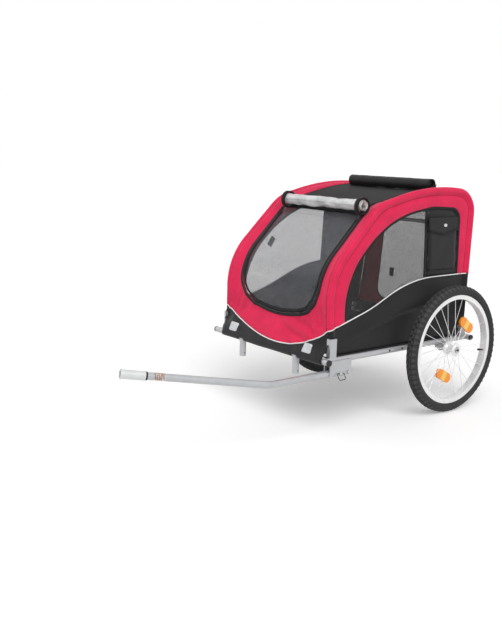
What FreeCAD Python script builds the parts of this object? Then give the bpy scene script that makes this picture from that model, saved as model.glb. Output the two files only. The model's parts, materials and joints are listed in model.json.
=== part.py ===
"""Two-wheeled dog trailer that is towed behind a bicycle, at real size in millimetres.

X points to the trailer's left, -Y is its front and Z is up. While the pieces are made, the axle
stands at Y = 0 and the ground at Z = 0. At the end everything moves together, so that the origin
is at the bottom centre of the whole trailer.
"""
import FreeCAD, Part
import math
import os

V = FreeCAD.Vector
X_WAY = V(1, 0, 0)
Y_WAY = V(0, 1, 0)
Z_WAY = V(0, 0, 1)

# Gaps and overruns that all pieces share
cut_run = 40.0
seat_gap = 0.1
running_gap = 0.05
soft_gap = 0.3

# Tyre, rim, spokes and hub
tyre_radius = 247.5
tyre_half_width = 23.0
tyre_wall = 3.5
tyre_shoulder_half = 15.0
tyre_shoulder_drop = 4.5
tyre_belly_depth = 20.5
wheel_plane = 347.0
rim_radius = 212.0
rim_depth = 16.0
rim_width = 30.0
rim_wall = 2.0
spoke_count = 28
spoke_radius = 1.1
spoke_circle = 22.0
spoke_lean_deg = 17.0
hub_half = 25.0
hub_barrel_radius = 13.0
hub_end_radius = 17.0
hub_end_length = 7.0
hub_bore = 8.0
flange_radius = 26.0
flange_thickness = 3.0
flange_offset = 20.0
hub_waist_half = 14.0
bearing_radius = 14.0
bearing_width = 7.0
reflector_length = 86.0
reflector_height = 38.0
reflector_thickness = 9.0
reflector_circle = 110.0
reflector_corner = 18.0
reflector_places_deg = (-118.0, 54.0)
valve_length = 30.0
valve_radius = 3.0
valve_cap_length = 12.0
valve_cap_radius = 4.2
valve_place_deg = -8.0

# Stub axles, their receivers and the release buttons
axle_radius = 6.0
axle_head_radius = 10.0
axle_head_length = 3.0
receiver_radius = 11.0
receiver_length = 46.0
axle_collar_length = 2.0
axle_collar_radius = 9.0
button_radius = 4.0
button_length = 8.5
button_stand = 3.0
button_hole_depth = 9.0
gusset_thickness = 4.0
gusset_half_length = 62.0
gusset_foot_half = 15.0
gusset_foot_drop = 14.0

# Base frame
tube_radius = 11.0
tube_wall = 1.5
frame_height = 272.0
rail_side = 300.0
front_tube_reach = 629.0
rear_tube_reach = 139.0
cross_tube_half = 324.0
cap_length = 6.0
cap_plug_length = 15.0
floor_thickness = 3.0
floor_side_step = 4.0

# Front posts, open at the bottom
post_side = 155.0
post_radius = 12.5
post_bore = 11.0
post_drop = 73.0
post_hole_radius = 3.0
post_hole_height = 13.0
post_bore_depth = 50.0

# Hoops that carry the cover, and the bars between them
hoop_radius = 10.0
hoop_wall = 1.2
hoop_base_side = 294.0
hoop_base_height = 300.0
hoop_foot_height = 290.0
hoop_lean = 0.045
roof_bar_radius = 8.0
roof_bar_wall = 1.2
rear_bar_share = 0.2

# Corner brackets: channels that stand on the rails, open to the inside
bracket_wall = 2.5
bracket_depth = 18.0
front_bracket_top = 348.0
rear_bracket_top = 321.0
front_bolt_drop = 26.0
rear_bolt_drop = 16.0
bolt_radius = 3.0
bolt_head_radius = 5.5
bolt_head_height = 4.0

# Cover: one outline of the hoops' outside, seen from the left, as shares of its length and height
cabin_front = 619.0
cabin_length = 790.0
cabin_bottom = 286.3
cabin_height = 571.0
cabin_outline_shares = ((0.022, -0.1), (0.008, 0.489), (0.317, 0.912), (0.662, 1.026), (0.998, 0.981),
                        (0.931, -0.1))
front_knee_radius = 250.0
front_brow_radius = 183.0
roof_crown_radius = 1000.0
rear_corner_radius = 92.0
cloth = 2.0
mesh_cloth = 1.2
sleeve_wall = 2.0
panel_inset = 16.0
front_panel_head = 16.0
rear_panel_depth = 83.0
front_flare_rise = 10.0
front_flare_radius = 30.0

# Side windows, the piping line and the bindings, as shares of the same length and height
window_shares = ((0.121, 0.069), (0.111, 0.435), (0.369, 0.808), (0.685, 0.877), (0.885, 0.86), (0.872, 0.069))
window_radii = (295.0, 466.0, 264.0, 47.0)
piping_shares = ((0.277, 0.258), (0.535, 0.418), (1.06, 0.42))
piping_bend_radius = 600.0
piping_radius = 2.2
binding_width = 11.0
binding_thickness = 1.4

# Front window and door, front piping, rear window
front_window_half = 214.0
front_window_top = 746.0
front_window_shoulder = 430.0
front_window_bottom = 388.5
front_window_corner = 110.0
front_window_sag_radius = 500.0
front_piping_side_height = 370.0
front_piping_mid_height = 301.0
door_gap = 0.4
rear_window_half = 172.0
rear_window_bottom = 362.0
rear_window_top = 752.0
rear_window_corner = 50.0
rear_piping_height = 334.0

# Rolled covers and their straps
front_roll_half = 209.0
front_roll_core = 13.0
front_roll_step = 4.0
front_roll_half_turns = 5
front_roll_shift = 16.0
front_roll_seat_share = 0.3
roof_roll_half = 226.0
roof_roll_core = 6.0
roof_roll_step = 3.6
roof_roll_half_turns = 6
roll_sheet = 1.6
roof_roll_reach = 24.5
strap_width = 14.0
strap_thickness = 3.0

# Pocket on the left side, its flap, and the reflective patches in front
pocket_length = 164.0
pocket_rear_step = 111.0
pocket_bottom = 548.0
pocket_top = 748.0
pocket_depth = 9.0
pocket_corner = 12.0
flap_drop = 46.0
flap_point = 16.0
flap_thickness = 2.5
flap_overhang = 3.0
patch_side = 213.0
patch_width = 45.0
patch_height = 32.0
patch_thickness = 0.8
patch_gap = 9.0

# Tow bracket, tow bar and lock pin
tow_radius = 12.5
tow_wall = 2.0
tow_height = 226.0
tow_rear_reach = 508.0
tow_bend_reach = 868.0
tow_bend_radius = 160.0
tow_bracket_front = 612.0
tow_bracket_rear = 510.0
tow_bracket_wall = 3.0
tow_bracket_low = 10.0
tow_bracket_play = 0.2
tow_web = 4.0
tow_bolt_reach = 525.0
tow_bolt_radius = 4.0
tow_bolt_head_radius = 7.0
tow_bolt_head_height = 5.0
lock_reach = 564.0
lock_radius = 4.0
lock_head_radius = 6.0
lock_head_length = 6.0
lock_overhang = 4.0
ring_wire = 1.4
ring_width = 32.0
ring_drop = 24.0
ring_corner = 7.0
ring_lean_deg = 30.0

# Hitch: lengths run along the bar's front stretch
coupler_tip_side = 150.0
coupler_tip_reach = 1340.0
coupler_tip_height = 299.0
plug_flange = 4.0
plug_depth = 28.0
spring_length = 32.0
spring_wire = 1.8
spring_mean_radius = 11.8
spring_turns = 4.5
collar_length = 22.0
collar_radius = 12.5
rubber_length = 6.0
rubber_radius = 14.0
coupler_length = 79.0
coupler_radius = 15.0
coupler_bore = 11.0
coupler_bore_depth = 70.0
coupler_lip = 2.0
cross_half_up = 4.0
cross_half_side = 5.5
cross_half_long = 3.4
cross_pin_radius = 2.0
ear_thickness = 3.0
ear_play = 0.3
ear_half_width = 3.5
fork_reach = 10.4
fork_base = 2.4
fork_base_radius = 9.4
fork_stem_radius = 6.0

parts = {}


def rod(start, end, radius):
    """Solid round bar between two points."""
    way = end - start
    return Part.makeCylinder(radius, way.Length, start, way)


def tube(start, end, radius, wall):
    """Round tube between two points, open at both ends."""
    return rod(start, end, radius).cut(rod(start, end, radius - wall))


def box_between(low, high):
    """Box between two opposite corners."""
    size = high - low
    return Part.makeBox(size.x, size.y, size.z, low)


def mirrored(shape):
    """The same shape on the trailer's other side."""
    return shape.mirror(V(), X_WAY)


def both_sides(shape):
    """A left piece and its mirrored copy as one group."""
    return Part.makeCompound([shape, mirrored(shape)])


def corner_points(before, point, after, radius):
    """Start, middle and end of the arc that rounds one corner."""
    back = (before - point).normalize()
    ahead = (after - point).normalize()
    half = back.getAngle(ahead) / 2
    reach = radius / math.tan(half)
    middle = (back + ahead).normalize() * (radius / math.sin(half) - radius)
    return point + back * reach, point + middle, point + ahead * reach


def rounded_wire(points, radii, closed=False):
    """Straight runs joined by tangent arcs. An open wire keeps its two end points sharp."""
    count = len(points)
    stops = []
    for i, point in enumerate(points):
        inner = closed or 0 < i < count - 1
        radius = radii[i if closed else i - 1] if inner else 0
        if radius:
            stops.append(corner_points(points[i - 1], point, points[(i + 1) % count], radius))
        else:
            stops.append((point,))
    edges = []
    for i, stop in enumerate(stops):
        if len(stop) > 1:
            edges.append(Part.Arc(*stop).toShape())
        if i + 1 < count or closed:
            edges.append(Part.makeLine(stop[-1], stops[(i + 1) % count][0]))
    return Part.Wire(edges)


def swept(path, radius):
    """Round bar along a wire."""
    first = path.OrderedEdges[0]
    start = first.valueAt(first.FirstParameter)
    way = first.tangentAt(first.FirstParameter)
    return path.makePipeShell([Part.Wire(Part.makeCircle(radius, start, way))], True)


def swept_tube(path, radius, wall):
    """Round tube along a wire."""
    return swept(path, radius).cut(swept(path, radius - wall))


def prism(wire, way):
    """Flat outline pushed along a vector."""
    return Part.Face(wire).extrude(way)


def turned(points):
    """Closed section of X and radius pairs, turned round the X axis."""
    wire = Part.makePolygon([V(x, 0, r) for x, r in points + points[:1]])
    return Part.Face(wire).revolve(V(), X_WAY, 360)


def hexagon_head(start, way, radius, height):
    """Six-sided bolt head or nut that stands on a point."""
    turn = FreeCAD.Rotation(Z_WAY, way)
    ring = [turn.multVec(V(radius * math.cos(a), radius * math.sin(a), 0)) + start
            for a in (math.radians(60 * i) for i in range(7))]
    return prism(Part.makePolygon(ring), V(way) * height)


def bolt_along(start, way, length, radius, head_radius, head_height):
    """Bolt with a head before its start and a nut after its length."""
    shank = rod(start, start + way * length, radius)
    head = hexagon_head(start - way * head_height, way, head_radius, head_height)
    nut = hexagon_head(start + way * length, way, head_radius, head_height)
    return shank.fuse([head, nut]).removeSplitter()


def cabin_points(shares):
    """Points of the side view from shares of the cabin's length and height."""
    return [(share_y * cabin_length - cabin_front, cabin_bottom + share_z * cabin_height)
            for share_y, share_z in shares]


def grown(points, distance):
    """Closed side-view outline, drawn clockwise, with every side moved outwards."""
    lines = []
    for (y0, z0), (y1, z1) in zip(points, points[1:] + points[:1]):
        length = math.hypot(y1 - y0, z1 - z0)
        shift_y = -(z1 - z0) / length * distance
        shift_z = (y1 - y0) / length * distance
        lines.append((y0 + shift_y, z0 + shift_z, y1 - y0, z1 - z0))
    moved = []
    for (ya, za, day, daz), (yb, zb, dby, dbz) in zip(lines[-1:] + lines[:-1], lines):
        share = ((yb - ya) * dbz - (zb - za) * dby) / (day * dbz - daz * dby)
        moved.append((ya + share * day, za + share * daz))
    return moved


def cabin_wire(inset, x):
    """Side-view outline of the cover, set inwards, at one X."""
    points = [V(x, y, z) for y, z in grown(cabin_points(cabin_outline_shares), -inset)]
    bends = (front_knee_radius, front_brow_radius, roof_crown_radius, rear_corner_radius)
    return rounded_wire(points, [0] + [bend - inset for bend in bends] + [0], closed=True)


def side_at(height):
    """X of the left hoop's plane at a height."""
    return hoop_base_side - (height - hoop_base_height) * hoop_lean


sleeve_radius = hoop_radius + soft_gap + sleeve_wall
hoop_corners = grown(cabin_points(cabin_outline_shares), -sleeve_radius)
hoop_bends = [bend - sleeve_radius
              for bend in (front_knee_radius, front_brow_radius, roof_crown_radius, rear_corner_radius)]
hem_radius = tube_radius + seat_gap + cloth
cabin_top = cabin_bottom + cabin_height
cabin_rear = cabin_length - cabin_front
pocket_back = cabin_rear - pocket_rear_step
pocket_front = pocket_length - pocket_back
span_low = cabin_bottom - cut_run
span_high = cabin_top + cut_run
span_front = -cabin_front - cut_run
span_rear = cabin_rear + cut_run


def on_leg(foot, knee, height):
    """Point of a hoop's leg at a height, in the side view."""
    share = (height - foot[1]) / (knee[1] - foot[1])
    return foot[0] + (knee[0] - foot[0]) * share, height


def hoop_path(front_height, rear_height):
    """Middle line of the left hoop between two heights of its legs."""
    front = on_leg(hoop_corners[0], hoop_corners[1], front_height)
    rear = on_leg(hoop_corners[5], hoop_corners[4], rear_height)
    points = [V(side_at(z), y, z) for y, z in [front] + hoop_corners[1:5] + [rear]]
    return rounded_wire(points, hoop_bends)


def side_slab(thickness):
    """Slanting slab in the left hoop's plane, with its middle on that plane."""
    half = V(thickness / 2, 0, 0)
    low = V(side_at(span_low), span_front, span_low)
    high = V(side_at(span_high), span_front, span_high)
    corners = [low - half, low + half, high + half, high - half]
    return prism(Part.makePolygon(corners + corners[:1]), Y_WAY * (span_rear - span_front))


def between_hoops(gap):
    """Space between the two hoop planes, less a gap at each side, above the front hem's bottom edge."""
    corners = [V(side_at(z) - gap, span_front, z) for z in (frame_height - tube_radius, span_high)]
    corners += [V(-p.x, p.y, p.z) for p in reversed(corners)]
    return prism(Part.makePolygon(corners + corners[:1]), Y_WAY * (span_rear - span_front))


def left_block():
    """Block that holds everything on the left side above the cover's bottom edge."""
    return box_between(V(0, span_front, cabin_bottom), V(rail_side + cut_run, span_rear, span_high))


def side_prism(wire):
    """Side-view outline pushed right across the left half."""
    return prism(wire, X_WAY * (rail_side + cut_run))


def piping_points():
    """Corners of the side's piping line in the side view, from beyond the front leg to beyond the rear one."""
    line = [V(0, y, z) for y, z in cabin_points(piping_shares)]
    start = V(0, -cabin_front, front_piping_side_height)
    return [start + (start - line[0]).normalize() * cut_run] + line


def below_piping():
    """All of the left half that lies under the piping line."""
    line = piping_points()
    corners = line + [V(0, line[-1].y, span_low), V(0, line[0].y, span_low)]
    bends = [0, piping_bend_radius, piping_bend_radius, 0, 0, 0]
    return side_prism(rounded_wire(corners, bends, closed=True))


def window_wire(inset):
    """Side window's outline, set inwards."""
    points = [V(0, y, z) for y, z in grown(cabin_points(window_shares), -inset)]
    return rounded_wire(points, [0] + [bend - inset for bend in window_radii] + [0], closed=True)


def wheel_pieces():
    """Pieces of one wheel round the X axis, with its outside towards +X."""
    bed = rim_radius - rim_depth
    rim_half = rim_width / 2
    rim = turned([(-rim_half, bed), (rim_half, bed), (rim_half, rim_radius), (rim_half - rim_wall, rim_radius),
                  (rim_half - rim_wall, bed + rim_wall), (rim_wall - rim_half, bed + rim_wall),
                  (rim_wall - rim_half, rim_radius), (-rim_half, rim_radius)])
    end_in = hub_half - hub_end_length
    flange_in = flange_offset - flange_thickness / 2
    flange_out = flange_offset + flange_thickness / 2
    half = [(hub_waist_half, hub_barrel_radius), (flange_in, hub_end_radius), (flange_in, flange_radius),
            (flange_out, flange_radius), (flange_out, hub_end_radius), (hub_half, hub_end_radius),
            (hub_half, bearing_radius), (end_in, bearing_radius), (end_in, hub_bore)]
    hub = turned([(-x, r) for x, r in reversed(half)] + half)
    race = tube(V(end_in, 0, 0), V(end_in + bearing_width, 0, 0), bearing_radius,
                bearing_radius - axle_radius - running_gap)
    spokes = spoke_rods(spoke_radius)
    return {"tyre": tyre_ring(), "rim": rim, "hub": hub, "bearings": both_sides(race),
            "spokes": Part.makeCompound([largest(spoke.cut([rim, hub])) for spoke in spokes]),
            "reflectors": spoke_reflectors(), "valve": valve_stem()}


def tyre_ring():
    """Hollow tyre: beads inside the rim, round sides and a crowned tread."""
    bead_out = rim_width / 2 - rim_wall - seat_gap
    bead_in = bead_out - tyre_wall
    toe = rim_radius - rim_depth + rim_wall + seat_gap
    lip = rim_radius + seat_gap
    belly = tyre_radius - tyre_belly_depth
    edge = tyre_radius - tyre_shoulder_drop

    def side(sign, thick):
        bead = (bead_in if thick else bead_out) * sign
        wide = (tyre_half_width - thick) * sign
        shoulder = (tyre_shoulder_half - thick / 2) * sign
        return V(bead, 0, toe), V(bead, 0, lip), V(wide, 0, belly), V(shoulder, 0, edge - thick)

    edges = []
    for thick in (0, tyre_wall):
        toe_l, lip_l, belly_l, edge_l = side(-1, thick)
        toe_r, lip_r, belly_r, edge_r = side(1, thick)
        edges += [Part.makeLine(toe_l, lip_l), Part.Arc(lip_l, belly_l, edge_l).toShape(),
                  Part.Arc(edge_l, V(0, 0, tyre_radius - thick), edge_r).toShape(),
                  Part.Arc(edge_r, belly_r, lip_r).toShape(), Part.makeLine(lip_r, toe_r)]
    for sign in (-1, 1):
        edges.append(Part.makeLine(side(sign, 0)[0], side(sign, tyre_wall)[0]))
    return Part.Face(Part.Wire(Part.__sortEdges__(edges))).revolve(V(), X_WAY, 360)


def wheel_point(x, radius, angle_deg):
    """Point at a radius and angle in the wheel, measured from +Y towards +Z."""
    angle = math.radians(angle_deg)
    return V(x, radius * math.cos(angle), radius * math.sin(angle))


def spoke_rods(radius):
    """Spokes from alternate hub flanges to the rim's bed, leaning one way on each flange."""
    rods = []
    for i in range(spoke_count):
        side = 1 if i % 2 else -1
        angle = 360 * i / spoke_count
        foot = wheel_point(side * flange_offset, spoke_circle, angle + side * spoke_lean_deg)
        rods.append(rod(foot, wheel_point(0, rim_radius - rim_depth + rim_wall, angle), radius))
    return rods


def spoke_reflectors():
    """Two rounded reflectors clipped over the outer spokes."""
    x = flange_offset * (1 - reflector_circle / (rim_radius - rim_depth)) - reflector_thickness / 2
    low = reflector_circle - reflector_height / 2
    high = low + reflector_height
    half = reflector_length / 2
    corners = [V(x, y, z) for y, z in ((low, -half), (high, -half), (high, half), (low, half))]
    plate = prism(rounded_wire(corners, [reflector_corner] * 4, closed=True), X_WAY * reflector_thickness)
    clips = Part.makeCompound(spoke_rods(spoke_radius + seat_gap))
    pieces = []
    for place in reflector_places_deg:
        piece = plate.copy()
        piece.rotate(V(), X_WAY, place)
        pieces.append(piece.cut(clips))
    return Part.makeCompound(pieces)


def valve_stem():
    """Valve that points from the rim's bed to the hub, with its cap."""
    start = rim_radius - rim_depth
    stem = rod(wheel_point(0, start - valve_length, valve_place_deg), wheel_point(0, start, valve_place_deg),
               valve_radius)
    cap = rod(wheel_point(0, start - valve_length - seat_gap, valve_place_deg),
              wheel_point(0, start - valve_length + valve_cap_length, valve_place_deg), valve_cap_radius)
    bed = rod(V(-rim_width, 0, 0), V(rim_width, 0, 0), start)
    return stem.fuse(cap).common(bed).removeSplitter()


def make_wheels():
    """Left wheel and its mirrored twin."""
    for name, piece in wheel_pieces().items():
        piece.translate(V(wheel_plane, 0, tyre_radius))
        parts["left_" + name] = piece
        parts["right_" + name] = mirrored(piece)


def axle_inner_end():
    """X of the receiver's inner end."""
    return wheel_plane - hub_half - axle_collar_length - receiver_length


def make_axles():
    """Gusset plates under the rails, receivers, stub axles and their release buttons."""
    inner = axle_inner_end()
    middle = V(inner, 0, tyre_radius)
    mouth = V(inner + receiver_length, 0, tyre_radius)
    receiver = tube(middle, mouth, receiver_radius, receiver_radius - axle_radius - running_gap)
    rail = left_rail_rod()
    foot = tyre_radius - gusset_foot_drop
    half = V(rail_side - gusset_thickness / 2, 0, 0)
    corners = [half + V(0, -gusset_half_length, frame_height), half + V(0, gusset_half_length, frame_height),
               half + V(0, gusset_foot_half, foot), half + V(0, -gusset_foot_half, foot)]
    plate = prism(Part.makePolygon(corners + corners[:1]), X_WAY * gusset_thickness)
    plate = plate.cut([rail, rod(middle, mouth, receiver_radius)])
    end = V(wheel_plane + hub_half + soft_gap, 0, tyre_radius)
    tip = end + X_WAY * axle_head_length
    collar = rod(mouth, mouth + X_WAY * (axle_collar_length - soft_gap), axle_collar_radius)
    axle = rod(middle, end, axle_radius).fuse([collar, rod(end, tip, axle_head_radius)])
    hole = rod(tip - X_WAY * button_hole_depth, tip, button_radius + seat_gap)
    button_end = tip + X_WAY * button_stand
    parts["axle_gussets"] = both_sides(plate)
    parts["axle_receivers"] = both_sides(receiver)
    parts["wheel_axles"] = both_sides(axle.cut(hole).removeSplitter())
    button = rod(button_end - X_WAY * button_length, button_end, button_radius)
    parts["left_release_button"] = button
    parts["right_release_button"] = mirrored(button)


def left_rail_rod():
    """Full round bar in the left rail's place."""
    front = V(rail_side, -front_tube_reach, frame_height)
    return rod(front, V(rail_side, rear_tube_reach, frame_height), tube_radius)


def front_cross_rod():
    """Full round bar in the front cross tube's place."""
    left = V(cross_tube_half, -front_tube_reach, frame_height)
    return rod(left, V(-left.x, left.y, left.z), tube_radius)


def make_base():
    """Cross tubes with end caps, side rails that meet them, and the floor board."""
    solid_cross = []
    caps = []
    for name, y in (("front", -front_tube_reach), ("rear", rear_tube_reach)):
        left = V(cross_tube_half, y, frame_height)
        right = V(-cross_tube_half, y, frame_height)
        solid_cross.append(rod(left, right, tube_radius))
        parts[name + "_cross_tube"] = tube(left, right, tube_radius, tube_wall)
        cap = rod(left, left + X_WAY * cap_length, tube_radius).fuse(
            rod(left - X_WAY * cap_plug_length, left, tube_radius - tube_wall - running_gap))
        caps += [cap.removeSplitter(), mirrored(cap.removeSplitter())]
    parts["tube_end_caps"] = Part.makeCompound(caps)
    start = V(rail_side, -front_tube_reach, frame_height)
    rail = tube(start, V(rail_side, rear_tube_reach, frame_height), tube_radius, tube_wall).cut(solid_cross)
    rail = max(rail.Solids, key=lambda solid: solid.Volume)
    parts["left_side_rail"] = rail
    parts["right_side_rail"] = mirrored(rail)
    half = rail_side + floor_side_step
    low = frame_height + tube_radius
    floor = box_between(V(-half, -front_tube_reach + tube_radius, low),
                        V(half, rear_tube_reach - tube_radius, low + floor_thickness))
    for bracket in (True, False):
        notch = bracket_space(bracket)
        floor = floor.cut([notch, mirrored(notch)])
    parts["floor_board"] = floor


def make_posts():
    """Two short tubes under the front cross tube, with a bore from below and a cross hole."""
    top = V(post_side, -front_tube_reach, frame_height)
    foot = top - Z_WAY * post_drop
    hole_mid = foot + Z_WAY * post_hole_height
    bore = rod(foot, foot + Z_WAY * post_bore_depth, post_bore)
    cross_hole = rod(hole_mid - X_WAY * cut_run, hole_mid + X_WAY * cut_run, post_hole_radius)
    post = rod(foot, top, post_radius).cut([front_cross_rod(), bore, cross_hole])
    post = max(post.Solids, key=lambda solid: solid.Volume)
    parts["front_posts"] = both_sides(post)


def leg_point(front):
    """Point of the left hoop's leg at its bracket's bolt."""
    if front:
        y, z = on_leg(hoop_corners[0], hoop_corners[1], front_bracket_top - front_bolt_drop)
    else:
        y, z = on_leg(hoop_corners[5], hoop_corners[4], rear_bracket_top - rear_bolt_drop)
    return V(side_at(z), y, z)


def bracket_half():
    """Half of a corner bracket's length along the rail."""
    return hoop_radius + soft_gap + bracket_wall + hoop_lean_room()


def hoop_lean_room():
    """Room along the rail for a leg that leans inside its bracket."""
    foot = hoop_corners[5]
    knee = hoop_corners[4]
    return (knee[0] - foot[0]) / (knee[1] - foot[1]) * (front_bracket_top - hoop_foot_height) / 2


def bracket_box(front):
    """Outer block of one left corner bracket, from the rail's middle to its top."""
    bolt = leg_point(front)
    outside = bolt.x + hoop_radius + soft_gap + bracket_wall + bracket_room()
    top = front_bracket_top if front else rear_bracket_top
    half = bracket_half()
    return V(outside - bracket_depth, bolt.y - half, frame_height), V(outside, bolt.y + half, top)


def bracket_room():
    """Sideways room for a leg that leans inside its bracket."""
    return hoop_lean * (front_bracket_top - hoop_foot_height) / 2


def bracket_space(front):
    """Block round a corner bracket and its bolt that the floor and cover leave free."""
    low, high = bracket_box(front)
    room = bolt_head_height + 2 * soft_gap
    return box_between(low - V(cut_run, room, 0), high + V(cut_run, room, soft_gap))


def make_brackets():
    """Corner channels on the rails, and the bolts through them and the hoop legs."""
    brackets = []
    bolts = []
    tubes = [left_rail_rod(), front_cross_rod()]
    for front in (True, False):
        low, high = bracket_box(front)
        bolt = leg_point(front)
        inside = box_between(low + V(-cut_run, bracket_wall, 0),
                             high - V(bracket_wall, bracket_wall, -cut_run))
        shank = rod(bolt - Y_WAY * cut_run, bolt + Y_WAY * cut_run, bolt_radius + running_gap)
        channel = box_between(low, high).cut(tubes + [inside, shank])
        channel = max(channel.Solids, key=lambda solid: solid.Volume)
        brackets += [channel, mirrored(channel)]
        start = V(bolt.x, low.y, bolt.z)
        pin = bolt_along(start, Y_WAY, high.y - low.y, bolt_radius, bolt_head_radius, bolt_head_height)
        bolts += [pin, mirrored(pin)]
    parts["corner_brackets"] = Part.makeCompound(brackets)
    parts["bracket_bolts"] = Part.makeCompound(bolts)


def make_hoops():
    """Bent side hoops with holes for their bolts, and two bars between them under the cover."""
    path = hoop_path(hoop_foot_height, hoop_foot_height)
    holes = []
    for front in (True, False):
        bolt = leg_point(front)
        holes.append(rod(bolt - Y_WAY * cut_run, bolt + Y_WAY * cut_run, bolt_radius + running_gap))
    hoop = swept_tube(path, hoop_radius, hoop_wall).cut(holes)
    parts["left_hoop"] = hoop
    parts["right_hoop"] = mirrored(hoop)
    full = swept(path, hoop_radius)
    bars = []
    for left in roof_bar_points():
        bar = tube(left, V(-left.x, left.y, left.z), roof_bar_radius, roof_bar_wall)
        bar = bar.cut([full, mirrored(full)])
        bars.append(max(bar.Solids, key=lambda solid: solid.Volume))
    parts["roof_bars"] = Part.makeCompound(bars)


def roof_bar_points():
    """Left ends of the two roof bars, close under the cloth at the brow and at the rear."""
    inset = panel_inset + cloth + soft_gap + roof_bar_radius
    under = grown(cabin_points(cabin_outline_shares), -inset)
    brow = corner_points(*[V(0, *point) for point in under[1:4]], front_brow_radius - inset)[1]
    rear_y, rear_z = between(under[4], under[5], rear_bar_share)
    return V(side_at(brow.z), brow.y, brow.z), V(side_at(rear_z), rear_y, rear_z)


def between(start, end, share):
    """Point at a share of the way between two side-view points."""
    return start[0] + (end[0] - start[0]) * share, start[1] + (end[1] - start[1]) * share


def make_side_cover():
    """Red side panels with hoop sleeves, black lower panels, meshes and window bindings."""
    path = hoop_path(front_bracket_top + soft_gap, rear_bracket_top + soft_gap)
    sleeve = swept_tube(path, sleeve_radius, sleeve_wall)
    slab = side_slab(cloth)
    window = side_prism(window_wire(0))
    under = below_piping()
    plate = side_prism(cabin_wire(2 * sleeve_radius - sleeve_wall / 2, 0)).common(slab).common(left_block())
    inner_edge = side_prism(cabin_wire(2 * sleeve_radius, 0))
    bar_holes = [rod(point - X_WAY * cut_run, point, roof_bar_radius + soft_gap)
                 for point in roof_bar_points()]
    red = sleeve.fuse(plate.cut(window)).cut([under] + bar_holes)
    spaces = [bracket_space(True), bracket_space(False)]
    black = sleeve.fuse(plate).common(under).cut(spaces)
    parts["side_red_panels"] = both_sides(largest(red))
    parts["side_lower_panels"] = both_sides(largest(black))
    mesh = window.common(side_slab(mesh_cloth)).common(left_block()).cut(under).common(inner_edge)
    parts["side_meshes"] = both_sides(largest(mesh))
    ring = side_prism(window_wire(-binding_width / 2)).cut(side_prism(window_wire(binding_width / 2)))
    outside = side_slab(cloth + 2 * binding_thickness).cut(side_slab(cloth))
    strip = ring.common(outside).common(left_block()).cut(under.translated(Z_WAY * (2 * piping_radius)))
    outer = [solid for solid in strip.Solids if solid.CenterOfMass.x > side_at(solid.CenterOfMass.z)]
    parts["side_window_bindings"] = both_sides(Part.makeCompound(outer))


def largest(shape):
    """Biggest solid of a result, without seams on its faces."""
    return max(shape.Solids, key=lambda solid: solid.Volume).removeSplitter()


def flare_points():
    """Foot and top, in the side view, of the slope on which the front cloth leans out round the cross tube."""
    foot, knee = grown(cabin_points(cabin_outline_shares), -panel_inset)[:2]
    top_y, top_z = on_leg(foot, knee, front_piping_side_height + front_flare_rise)
    back = top_y + front_tube_reach
    rise = top_z - frame_height
    lean = math.atan2(back, rise) + math.asin(hem_radius / math.hypot(back, rise))
    hem = -front_tube_reach - hem_radius
    return (hem, top_z - (top_y - hem) / math.tan(lean)), (top_y, top_z)


def band_wire(depth, x):
    """Side view of the cloth over front, roof and rear, set inwards by a depth, at one X."""
    hem, flare = flare_points()
    outline = grown(cabin_points(cabin_outline_shares), -panel_inset)
    points = grown([(hem[0], span_low), hem, flare] + outline[1:], -depth)
    bends = [bend - panel_inset - depth
             for bend in (front_knee_radius, front_brow_radius, roof_crown_radius, rear_corner_radius)]
    radii = [0, hem_radius - depth, front_flare_radius + depth] + bends + [0]
    return rounded_wire([V(x, y, z) for y, z in points], radii, closed=True)


def panel_band(thickness):
    """Cloth that runs over front, roof and rear between the hoops."""
    half = rail_side + cut_run
    outer = prism(band_wire(0, -half), X_WAY * (2 * half))
    inner = prism(band_wire(thickness, -half), X_WAY * (2 * half))
    return outer.cut(inner).common(between_hoops(sleeve_radius + soft_gap))


def front_region(wire):
    """Front-view outline pushed through the front half of the cover."""
    return prism(wire, Y_WAY * -span_front)


def front_piping_height(x):
    """Height of the front piping's arc at one X."""
    half = side_at(front_piping_side_height)
    drop = front_piping_side_height - front_piping_mid_height
    radius = (half ** 2 + drop ** 2) / (2 * drop)
    return front_piping_mid_height + radius - math.sqrt(radius ** 2 - x ** 2)


def below_front_piping():
    """All of the front half that lies under the front piping's sagging line."""
    half = side_at(front_piping_side_height)
    left = V(half, span_front, front_piping_side_height)
    right = V(-half, span_front, front_piping_side_height)
    edges = [Part.Arc(left, V(0, span_front, front_piping_mid_height), right).toShape()]
    low = [V(-half, span_front, span_low), V(half, span_front, span_low)]
    edges += [Part.makeLine(right, low[0]), Part.makeLine(low[0], low[1]), Part.makeLine(low[1], left)]
    return prism(Part.Wire(edges), Y_WAY * -span_front)


def front_window_wire(inset):
    """Front window's outline, set inwards."""
    half = front_window_half - inset
    top = front_window_top - inset
    shoulder = front_window_shoulder + inset
    bottom = front_window_bottom + inset
    corners = [V(x, span_front, z) for x, z in
               ((-half, top), (half, top), (half, shoulder), (0, bottom), (-half, shoulder))]
    bends = [0, 0, front_window_corner, front_window_sag_radius, front_window_corner]
    return rounded_wire(corners, bends, closed=True)


def rear_window_wire(inset):
    """Rear window's outline, set inwards."""
    half = rear_window_half - inset
    low = rear_window_bottom + inset
    high = rear_window_top - inset
    corners = [V(-half, 0, low), V(half, 0, low), V(half, 0, high), V(-half, 0, high)]
    return rounded_wire(corners, [rear_window_corner] * 4, closed=True)


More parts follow.
